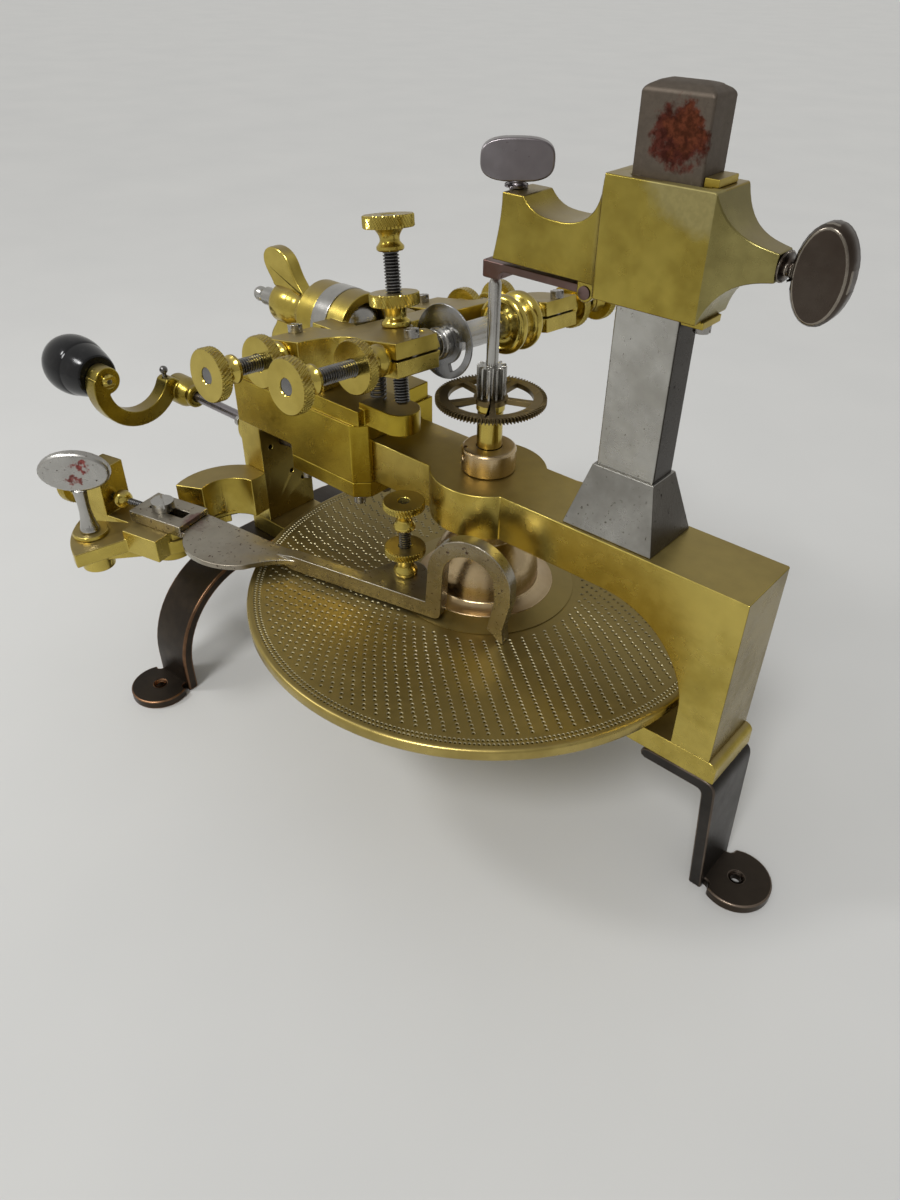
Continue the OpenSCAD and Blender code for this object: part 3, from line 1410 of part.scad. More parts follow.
index_foot();
index_foot_screw();
index_arm();
index_screw();
index_lock_nut();
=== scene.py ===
"""Looks of a clockmaker's wheel cutting engine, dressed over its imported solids."""

from __future__ import annotations

import json
import logging
import math
from collections.abc import Callable
from dataclasses import dataclass, field
from enum import Enum

import bpy
from mathutils import Matrix, Vector

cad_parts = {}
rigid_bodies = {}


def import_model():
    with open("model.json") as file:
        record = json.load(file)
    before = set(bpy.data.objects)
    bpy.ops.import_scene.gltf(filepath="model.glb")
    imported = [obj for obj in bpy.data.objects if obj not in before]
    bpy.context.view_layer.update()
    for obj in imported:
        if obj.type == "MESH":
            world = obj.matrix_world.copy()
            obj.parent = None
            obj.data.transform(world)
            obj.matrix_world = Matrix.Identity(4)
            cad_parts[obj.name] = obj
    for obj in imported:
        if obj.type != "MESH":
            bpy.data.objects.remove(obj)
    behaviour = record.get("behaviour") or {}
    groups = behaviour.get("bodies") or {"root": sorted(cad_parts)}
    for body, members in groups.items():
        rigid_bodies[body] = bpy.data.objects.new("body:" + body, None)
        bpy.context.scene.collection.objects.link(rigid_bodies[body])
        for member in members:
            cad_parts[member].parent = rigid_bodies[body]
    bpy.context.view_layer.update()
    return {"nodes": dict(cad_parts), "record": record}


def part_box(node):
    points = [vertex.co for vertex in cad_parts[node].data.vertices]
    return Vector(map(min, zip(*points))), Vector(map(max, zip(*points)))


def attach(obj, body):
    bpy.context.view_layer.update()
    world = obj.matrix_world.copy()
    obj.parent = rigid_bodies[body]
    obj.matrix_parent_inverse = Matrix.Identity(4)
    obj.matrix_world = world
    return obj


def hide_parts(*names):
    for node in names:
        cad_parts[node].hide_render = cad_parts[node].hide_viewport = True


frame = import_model()

LOG = logging.getLogger("wheel_cutting_engine")
MM = 0.001
Obj = bpy.types.Object
Face = bpy.types.MeshPolygon
Tree = bpy.types.NodeTree
Socket = bpy.types.NodeSocket
Material = bpy.types.Material
Point = tuple[float, float]
Triple = tuple[float, float, float]

BODY_OF: dict[str, str] = {
    node: body for body, nodes in frame["record"]["behaviour"]["bodies"].items() for node in nodes
}


# Modelling moves


def shift(x: float, y: float, z: float) -> Matrix:
    """Move by distances in millimetres."""
    return Matrix.Translation((x, y, z))


def turned(degrees: float, axis: str) -> Matrix:
    """Turn about an axis."""
    return Matrix.Rotation(math.radians(degrees), 4, axis)


def arc(radius: float, low: int, high: int, step: int) -> list[Point]:
    """Points of an arc about the origin, by angles in whole degrees."""
    angles = [math.radians(a) for a in range(low, high, step)]
    return [(radius * math.cos(a), radius * math.sin(a)) for a in angles]


def to_objects() -> None:
    """Leaves edit mode."""
    bpy.ops.object.mode_set(mode="OBJECT")


def rest_bench() -> None:
    """Leaves edit mode and deselects everything."""
    if bpy.context.object and bpy.context.object.mode != "OBJECT":
        to_objects()
    bpy.ops.object.select_all(action="DESELECT")


def take(obj: Obj) -> None:
    """Makes one object the only selected and active one."""
    rest_bench()
    obj.select_set(True)
    bpy.context.view_layer.objects.active = obj


def edit_all(obj: Obj) -> None:
    """Opens an object in edit mode with everything selected."""
    take(obj)
    bpy.ops.object.mode_set(mode="EDIT")
    bpy.ops.mesh.select_all(action="SELECT")


def pick(obj: Obj, wanted: Callable[[Vector], bool]) -> None:
    """Opens an object with some vertices selected, told by their place in millimetres."""
    take(obj)
    for part in (obj.data.vertices, obj.data.edges, obj.data.polygons):
        part.foreach_set("select", [False] * len(part))
    for vertex in obj.data.vertices:
        vertex.select = wanted(vertex.co / MM)
    bpy.ops.object.mode_set(mode="EDIT")
    bpy.ops.mesh.select_mode(type="VERT")


def stretch(obj: Obj, wanted: Callable[[Vector], bool], scale: Triple, centre: Triple = (0.0, 0.0, 0.0)) -> None:
    """Scales some of an object's vertices about a centre in millimetres."""
    pick(obj, wanted)
    bpy.ops.transform.resize(value=scale, center_override=tuple(c * MM for c in centre))
    to_objects()


def close_up(obj: Obj) -> None:
    """Merges doubles and points the faces outwards."""
    edit_all(obj)
    bpy.ops.mesh.remove_doubles(threshold=2e-6)
    bpy.ops.mesh.normals_make_consistent(inside=False)
    to_objects()


def smooth(obj: Obj, angle: float) -> None:
    """Smooths the shading across edges flatter than an angle in degrees."""
    take(obj)
    bpy.ops.object.shade_smooth_by_angle(angle=math.radians(angle))


def settle(obj: Obj, place: Matrix) -> None:
    """Moves a mesh to its place and leaves its object at the origin.

    Args:
        obj: The object, built about its own origin.
        place: Its place in the engine, with the distances in millimetres.
    """
    spot = place.copy()
    spot.translation = place.translation * MM
    take(obj)
    obj.matrix_world = spot
    bpy.ops.object.transform_apply(location=True, rotation=True, scale=True)


def draw(name: str, outline: list[Point]) -> Obj:
    """Draws an outline (x, z) in millimetres as a new object, left in edit mode."""
    rest_bench()
    bpy.ops.mesh.primitive_plane_add(size=MM)
    obj = bpy.context.object
    obj.name = obj.data.name = name
    edit_all(obj)
    bpy.ops.mesh.merge(type="CENTER")
    last = outline[0]
    bpy.ops.transform.translate(value=(last[0] * MM, 0, last[1] * MM))
    for point in outline[1:]:
        step = ((point[0] - last[0]) * MM, 0, (point[1] - last[1]) * MM)
        bpy.ops.mesh.extrude_vertices_move(TRANSFORM_OT_translate={"value": step})
        last = point
    bpy.ops.mesh.select_all(action="SELECT")
    return obj


def lathe(name: str, outline: list[Point], steps: int, angle: float = 0.0, place: Matrix | None = None) -> Obj:
    """Turns an outline about Z into a closed solid.

    Args:
        name: Name of the new object.
        outline: Points (radius, height) in millimetres, from axis to axis or back to the first point.
        steps: Steps round the full turn.
        angle: Angle in degrees up to which edges are smoothed; 0 for none.
        place: Its place in the engine; none leaves it about the origin.

    Returns:
        The turned object.
    """
    obj = draw(name, outline)
    bpy.ops.mesh.spin(steps=steps, angle=math.tau, center=(0, 0, 0), axis=(0, 0, 1))
    to_objects()
    close_up(obj)
    if angle:
        smooth(obj, angle)
    if place is not None:
        settle(obj, place)
    return obj


def slab(name: str, outline: list[Point], thickness: float) -> Obj:
    """Extrudes an open outline (x, z) into a slab that lies evenly on both sides of y = 0, in millimetres."""
    obj = draw(name, outline)
    bpy.ops.mesh.edge_face_add()
    bpy.ops.transform.translate(value=(0, -thickness / 2 * MM, 0))
    bpy.ops.mesh.extrude_region_move(TRANSFORM_OT_translate={"value": (0, thickness * MM, 0)})
    to_objects()
    close_up(obj)
    return obj


def block(name: str, size: Triple, place: Matrix) -> Obj:
    """Builds a plain block in millimetres, for shaping on or for cutting."""
    rest_bench()
    bpy.ops.mesh.primitive_cube_add(size=MM)
    obj = bpy.context.object
    obj.name = obj.data.name = name
    edit_all(obj)
    bpy.ops.transform.resize(value=size)
    to_objects()
    settle(obj, place)
    return obj


def twin(obj: Obj, place: Matrix) -> Obj:
    """Copies an object with its own mesh and puts the copy in its place."""
    take(obj)
    bpy.ops.object.duplicate()
    copy = bpy.context.object
    settle(copy, place)
    return copy


def copy_of(node: str, name: str) -> Obj:
    """Copies a solid's mesh into a merged object of its own."""
    take(frame["nodes"][node])
    bpy.ops.object.duplicate()
    obj = bpy.context.object
    bpy.ops.object.parent_clear(type="CLEAR_KEEP_TRANSFORM")
    obj.name = obj.data.name = name
    close_up(obj)
    return obj


def cut(obj: Obj, tool: Obj) -> None:
    """Cuts one closed solid out of another and throws the tool away."""
    take(obj)
    boolean = obj.modifiers.new("cut", "BOOLEAN")
    boolean.operation = "DIFFERENCE"
    boolean.solver = "MANIFOLD"
    boolean.object = tool
    bpy.ops.object.modifier_apply(modifier=boolean.name)
    take(tool)
    bpy.ops.object.delete()
    take(obj)


def join(name: str, *objs: Obj) -> Obj:
    """Joins objects into the first one and names it."""
    rest_bench()
    for obj in objs:
        obj.select_set(True)
    bpy.context.view_layer.objects.active = objs[0]
    bpy.ops.object.join()
    objs[0].name = objs[0].data.name = name
    return objs[0]


def paint(obj: Obj, *materials: Material) -> None:
    """Gives an object these materials as its slots."""
    obj.data.materials.clear()
    for material in materials:
        obj.data.materials.append(material)


def reslot(obj: Obj, slot_of: Callable[[Face], int]) -> None:
    """Gives each face the material slot that a rule names."""
    for face in obj.data.polygons:
        face.material_index = int(slot_of(face))


def soften(obj: Obj, width: float, segments: int = 2, edge_slot: int = -1, limit: float = 34.0,
           clamp: bool = False) -> None:
    """Rounds the sharp edges of an object and keeps its flat faces flat.

    Args:
        obj: The object, with merged vertices.
        width: Width of the rounding in millimetres.
        segments: Faces across the rounding.
        edge_slot: Material slot that the rounded edges get, or -1 for their faces' own.
        limit: Angle in degrees from which an edge is sharp.
        clamp: Whether short edges hold the width back.
    """
    edit_all(obj)
    bpy.ops.mesh.remove_doubles(threshold=0.03 * MM)
    bpy.ops.mesh.dissolve_limited(angle_limit=math.radians(0.4), delimit={"NORMAL"})
    to_objects()
    smooth(obj, limit)
    bevel = obj.modifiers.new("eased_edges", "BEVEL")
    bevel.width = width * MM
    bevel.segments = segments
    bevel.limit_method = "ANGLE"
    bevel.angle_limit = math.radians(limit)
    bevel.use_clamp_overlap = clamp
    bevel.harden_normals = True
    bevel.material = edge_slot
    bevel.miter_outer = "MITER_ARC"
    bpy.ops.object.modifier_apply(modifier=bevel.name)


def rounded(points: list[Point], passes: int = 2) -> list[Point]:
    """Cuts the corners of a closed outline until it runs smoothly."""
    for _ in range(passes):
        ring = zip(points, points[1:] + points[:1])
        points = [(a[0] + k * (b[0] - a[0]), a[1] + k * (b[1] - a[1])) for a, b in ring for k in (0.25, 0.75)]
    return points


def curve_points(controls: list[Point], count: int) -> list[Point]:
    """Points of a cubic curve through four control points, both ends included."""
    points = []
    for t in (i / count for i in range(count + 1)):
        u = 1 - t
        w = (u * u * u, 3 * u * u * t, 3 * u * t * t, t * t * t)
        points.append(tuple(sum(k * c[axis] for k, c in zip(w, controls)) for axis in (0, 1)))
    return points


def thread_points(radius: float, top: float, bottom: float, pitch: float, depth: float) -> list[Point]:
    """Outline (radius, height) of a cut thread in millimetres, from its top end down to its bottom end."""
    turns = max(1, round((top - bottom) / pitch))
    step = (top - bottom) / turns
    tooth = ((depth, 0.0), (depth, 0.25), (0.0, 0.5), (0.0, 0.8))
    points = [(radius - dip, top - i * step - share * step) for i in range(turns) for dip, share in tooth]
    return points + [(radius - depth, bottom)]


# Finishes


class Nodes:
    """Lays nodes into one tree."""

    def __init__(self, tree: Tree) -> None:
        """Keeps the tree that the nodes go into."""
        self.tree = tree

    def add(self, kind: str, **settings: object) -> bpy.types.Node:
        """Adds a node of a kind with these settings."""
        node = self.tree.nodes.new(f"ShaderNode{kind}")
        for key, value in settings.items():
            setattr(node, key, value)
        return node

    def feed(self, socket: Socket, value: object) -> None:
        """Links a socket to another, or sets its value."""
        if isinstance(value, Socket):
            self.tree.links.new(value, socket)
        elif isinstance(value, tuple) and len(value) == 3 and socket.type == "RGBA":
            socket.default_value = (*value, 1.0)
        else:
            socket.default_value = value

    def fill(self, node: bpy.types.Node, values: dict[str | int, object]) -> bpy.types.Node:
        """Feeds several inputs of a node and hands it back."""
        for key, value in values.items():
            self.feed(node.inputs[key], value)
        return node

    def math(self, operation: str, a: object, b: object = 0.0) -> Socket:
        """Result of a sum on two values."""
        return self.fill(self.add("Math", operation=operation), {0: a, 1: b}).outputs[0]

    def times(self, a: object, b: object) -> Socket:
        """Product of two values."""
        return self.math("MULTIPLY", a, b)

    def plus(self, a: object, b: object) -> Socket:
        """Sum of two values."""
        return self.math("ADD", a, b)

    def less(self, a: object, b: object) -> Socket:
        """Difference of two values."""
        return self.math("SUBTRACT", a, b)

    def ramp(self, value: object, low: object, high: object) -> Socket:
        """Smooth step from 0 at low to 1 at high."""
        node = self.add("MapRange", interpolation_type="SMOOTHSTEP")
        return self.fill(node, {"Value": value, "From Min": low, "From Max": high}).outputs["Result"]

    def mix(self, factor: object, a: object, b: object, blend: str = "MIX") -> Socket:
        """Mix of two colours."""
        node = self.add("Mix", data_type="RGBA", blend_type=blend)
        return self.fill(node, {0: factor, 6: a, 7: b}).outputs[2]

    def noise(self, vector: object, scale: float, detail: float = 2.0, rough: float = 0.5) -> Socket:
        """Value of a noise texture."""
        values = {"Vector": vector, "Scale": scale, "Detail": detail, "Roughness": rough}
        return self.fill(self.add("TexNoise"), values).outputs["Fac"]

    def parts(self, vector: object) -> bpy.types.bpy_prop_collection:
        """The three parts of a vector."""
        return self.fill(self.add("SeparateXYZ"), {0: vector}).outputs

    def mapped(self, vector: object, size: Triple, place: Triple = (0, 0, 0), turn: Triple = (0, 0, 0)) -> Socket:
        """Coordinates in a frame that is moved, turned in degrees and sized by a Mapping node."""
        angles = tuple(math.radians(a) for a in turn)
        values = {"Vector": vector, "Location": place, "Rotation": angles, "Scale": size}
        return self.fill(self.add("Mapping", vector_type="TEXTURE"), values).outputs["Vector"]

    def group(self, tree: Tree, values: dict[str, object]) -> bpy.types.bpy_prop_collection:
        """Outputs of a node group that is fed these values."""
        return self.fill(self.add("Group", node_tree=tree), values).outputs


def new_group(name: str, inputs: dict[str, str], outputs: dict[str, str]) -> tuple[Tree, dict, dict, Nodes]:
    """Starts a shader node group.

    Args:
        name: Name of the group.
        inputs: Socket type of each input, by name.
        outputs: Socket type of each output, by name.

    Returns:
        The group, its inputs' sockets and its outputs' sockets by name, and the node layer for it.
    """
    tree = bpy.data.node_groups.new(name, "ShaderNodeTree")
    for way, sockets in (("INPUT", inputs), ("OUTPUT", outputs)):
        for key, kind in sockets.items():
            tree.interface.new_socket(name=key, in_out=way, socket_type=f"NodeSocket{kind}")
    start, end = (tree.nodes.new(kind) for kind in ("NodeGroupInput", "NodeGroupOutput"))
    return tree, {s.name: s for s in start.outputs if s.name}, {s.name: s for s in end.inputs if s.name}, Nodes(tree)


VECTOR, FLOAT, COLOUR = "Vector", "Float", "Color"


def worn_metal_group() -> Tree:
    """Colour, roughness and height of handled metal with aged patches, specks and dulled tops."""
    tree, given, out, nodes = new_group(
        "worn_metal",
        {"Vector": VECTOR, "Up": FLOAT, "Bright": COLOUR, "Aged": COLOUR, "Speck": COLOUR, "Dull": COLOUR,
         "Age": FLOAT, "Specks": FLOAT, "Tops": FLOAT, "Smooth": FLOAT, "Matte": FLOAT},
        {"Color": COLOUR, "Roughness": FLOAT, "Height": FLOAT},
    )
    less, plus, times, place = nodes.less, nodes.plus, nodes.times, given["Vector"]
    cloud = nodes.noise(place, 38.0, 4.0, 0.6)
    mottle = nodes.noise(place, 210.0, 3.0, 0.55)
    grain = nodes.noise(place, 1300.0, 2.0)
    edge = less(0.78, times(given["Age"], 0.56))
    aged = nodes.ramp(cloud, less(edge, 0.14), plus(edge, 0.14))
    limit = less(0.76, times(given["Specks"], 0.2))
    specks = nodes.ramp(nodes.noise(place, 620.0, 3.0, 0.6), limit, plus(limit, 0.07))
    specks = times(specks, nodes.ramp(mottle, 0.36, 0.6))
    tops = times(nodes.ramp(given["Up"], 0.7, 0.97), given["Tops"])
    colour = nodes.mix(aged, given["Bright"], given["Aged"])
    colour = nodes.mix(tops, colour, given["Dull"])
    colour = nodes.mix(specks, colour, given["Speck"])
    shade = plus(0.84, times(mottle, 0.32))
    tone = nodes.fill(nodes.add("CombineColor"), {0: shade, 1: shade, 2: shade})
    nodes.feed(out["Color"], nodes.mix(1.0, colour, tone.outputs[0], "MULTIPLY"))
    matte = nodes.math("MAXIMUM", times(aged, 0.35), tops)
    rough = plus(given["Smooth"], times(matte, less(given["Matte"], given["Smooth"])))
    rough = plus(rough, times(less(mottle, 0.5), 0.16))
    nodes.feed(out["Roughness"], plus(rough, times(specks, 0.25)))
    nodes.feed(out["Height"], plus(times(specks, -0.8), times(grain, 0.35)))
    return tree


def filed_lines_group() -> Tree:
    """Height of fine file and polishing lines, on coordinates that are already stretched."""
    tree, given, out, nodes = new_group("filed_lines", {"Vector": VECTOR}, {"Height": FLOAT})
    fine = nodes.noise(given["Vector"], 1.0, 3.0, 0.6)
    broad = nodes.noise(given["Vector"], 0.24, 1.0)
    nodes.feed(out["Height"], nodes.plus(nodes.times(fine, 0.7), nodes.times(broad, 0.3)))
    return tree


def turned_lines_group() -> Tree:
    """Height of lathe marks round the Z axis of the coordinates it is given."""
    tree, given, out, nodes = new_group("turned_lines", {"Vector": VECTOR}, {"Height": FLOAT})
    x, y, z = nodes.parts(given["Vector"])
    radius = nodes.math("SQRT", nodes.plus(nodes.math("POWER", x, 2.0), nodes.math("POWER", y, 2.0)))
    ring = nodes.fill(nodes.add("CombineXYZ"), {0: radius, 2: z})
    nodes.feed(out["Height"], nodes.noise(ring.outputs[0], 2600.0, 3.0, 0.6))
    return tree


def stain_group() -> Tree:
    """Broken patch of stain inside the unit ball of the coordinates it is given, with a mottled tone."""
    tree, given, out, nodes = new_group(
        "stain", {"Vector": VECTOR, "Surface": VECTOR, "Share": FLOAT, "Break": FLOAT},
        {"Mask": FLOAT, "Tone": FLOAT})
    length = nodes.fill(nodes.add("VectorMath", operation="LENGTH"), {0: given["Vector"]})
    inside = nodes.less(1.0, nodes.ramp(length.outputs["Value"], 0.2, 1.15))
    broken = nodes.less(nodes.noise(given["Surface"], 300.0, 5.0, 0.65), 0.5)
    value = nodes.plus(inside, nodes.times(broken, given["Break"]))
    floor = nodes.less(1.0, nodes.times(given["Share"], 0.5))
    mask = nodes.ramp(value, floor, nodes.plus(floor, 0.34))
    nodes.feed(out["Mask"], nodes.times(mask, nodes.ramp(inside, 0.0, 0.2)))
    nodes.feed(out["Tone"], nodes.ramp(nodes.noise(given["Surface"], 640.0, 4.0, 0.6), 0.36, 0.66))
    return tree


def start_material(name: str) -> tuple[Material, Nodes, bpy.types.Node]:
    """Starts an empty material and hands back itself, its node layer and its coordinates."""
    material = bpy.data.materials.new(name)
    material.use_nodes = True
    material.node_tree.nodes.clear()
    nodes = Nodes(material.node_tree)
    return material, nodes, nodes.add("TexCoord")


def close_material(nodes: Nodes, relief: float, height: Socket, values: dict[str, object]) -> None:
    """Lays the bump, the shader and the output.

    Args:
        nodes: The material's node layer.
        relief: Strength of the bump.
        height: Height that the bump shows.
        values: What the shader's other inputs are fed.
    """
    bump = nodes.fill(nodes.add("Bump"), {"Strength": relief, "Distance": 0.0004, "Height": height})
    shader = nodes.fill(nodes.add("BsdfPrincipled"), {**values, "Normal": bump.outputs[0]})
    nodes.fill(nodes.add("OutputMaterial"), {0: shader.outputs[0]})


class Grain(Enum):
    """Way the fine tool lines run on a metal, as the size of one line in metres."""

    ALONG_X = (0.0167, 0.000192, 0.000192)
    ALONG_Y = (0.000192, 0.0167, 0.000192)
    ALONG_Z = (0.000192, 0.000192, 0.0167)
    TURNED = (1.0, 1.0, 1.0)


@dataclass(frozen=True)
class Stain:
    """A stained patch: its centre and half sizes in millimetres, its colour, how solid and how broken it is."""

    centre: Triple
    size: Triple
    colour: Triple
    share: float = 0.6
    broken: float = 2.6


@dataclass(frozen=True)
class MetalFinish:
    """A metal with its bright, aged, specked and dull tones, its tool lines and stains, and a painted shade on its
    faces turned towards +X.
    """

    name: str
    bright: Triple
    aged: Triple
    speck: Triple
    dull: Triple
    age: float = 0.5
    specks: float = 0.2
    tops: float = 0.0
    smooth: float = 0.24
    matte: float = 0.42
    grain: Grain = Grain.ALONG_X
    lines: float = 0.05
    centre: Triple = (0.0, 0.0, 0.0)
    turn: Triple = (0.0, 0.0, 0.0)
    # side: colour multiplied into faces turned towards +X, a painted shade on the right-hand sides away from the
    # light; white for none.
    side: Triple = (1.0, 1.0, 1.0)
    stains: tuple[Stain, ...] = ()

    def make(self, groups: dict[str, Tree]) -> Material:
        """Builds the material from the shared groups."""
        material, nodes, coords = start_material(self.name)
        place = coords.outputs["Object"]
        right, _, up = nodes.parts(coords.outputs["Normal"])
        tones = {key: getattr(self, key.lower()) for key in (
            "Bright", "Aged", "Speck", "Dull", "Age", "Specks", "Tops", "Smooth", "Matte")}
        worn = nodes.group(groups["worn_metal"], {"Vector": place, "Up": up, **tones})
        middle = tuple(c * MM for c in self.centre)
        kind = "turned_lines" if self.grain is Grain.TURNED else "filed_lines"
        lines = nodes.group(groups[kind], {"Vector": nodes.mapped(place, self.grain.value, middle, self.turn)})
        colour, rough = worn["Color"], worn["Roughness"]
        # Painted shade: faces whose normals turn towards +X take the side colour multiplied in.
        if self.side != (1.0, 1.0, 1.0):
            painted_right_shade = nodes.mix(1.0, colour, self.side, "MULTIPLY")
            colour = nodes.mix(nodes.ramp(right, 0.6, 0.9), colour, painted_right_shade)
        for stain in self.stains:
            size, centre = (tuple(c * MM for c in row) for row in (stain.size, stain.centre))
            spot = nodes.group(groups["stain"], {"Vector": nodes.mapped(place, size, centre), "Surface": place,
                                                 "Share": stain.share, "Break": stain.broken})
            deep = 0.5 if stain.broken > 1.0 else 0.88
            patch = nodes.mix(spot["Tone"], tuple(deep * c for c in stain.colour), stain.colour)
            colour = nodes.mix(spot["Mask"], colour, patch)
            rough = nodes.plus(rough, nodes.times(spot["Mask"], 0.3))
        height = nodes.plus(worn["Height"], nodes.times(lines["Height"], 1.6))
        close_material(nodes, self.lines, height, {"Metallic": 1.0, "Base Color": colour, "Roughness": rough})
        return material


@dataclass(frozen=True)
class WoodFinish:
    """Polished black turned wood."""

    name: str
    base: Triple
    worn: Triple

    def make(self, groups: dict[str, Tree]) -> Material:
        """Builds the material from the shared groups."""
        material, nodes, coords = start_material(self.name)
        place = coords.outputs["Object"]
        lines = nodes.group(groups["filed_lines"], {"Vector": nodes.mapped(place, (0.011, 0.00067, 0.00067))})
        rub = nodes.ramp(nodes.noise(place, 160.0, 4.0, 0.6), 0.5, 0.8)
        close_material(nodes, 0.04, lines["Height"], {
            "Specular IOR Level": 0.3, "Base Color": nodes.mix(rub, self.base, self.worn),
            "Roughness": nodes.plus(0.13, nodes.times(rub, 0.14))})
        return material


BRASS_SPECK = (0.09, 0.06, 0.016)
BRASS_DULL = (0.275, 0.212, 0.1)
BRASS_TONES = ((0.56, 0.44, 0.105), (0.41, 0.31, 0.06), BRASS_SPECK, BRASS_DULL)
STEEL_TONES = ((0.43, 0.42, 0.395), (0.28, 0.265, 0.245), (0.07, 0.055, 0.045), (0.23, 0.215, 0.195))


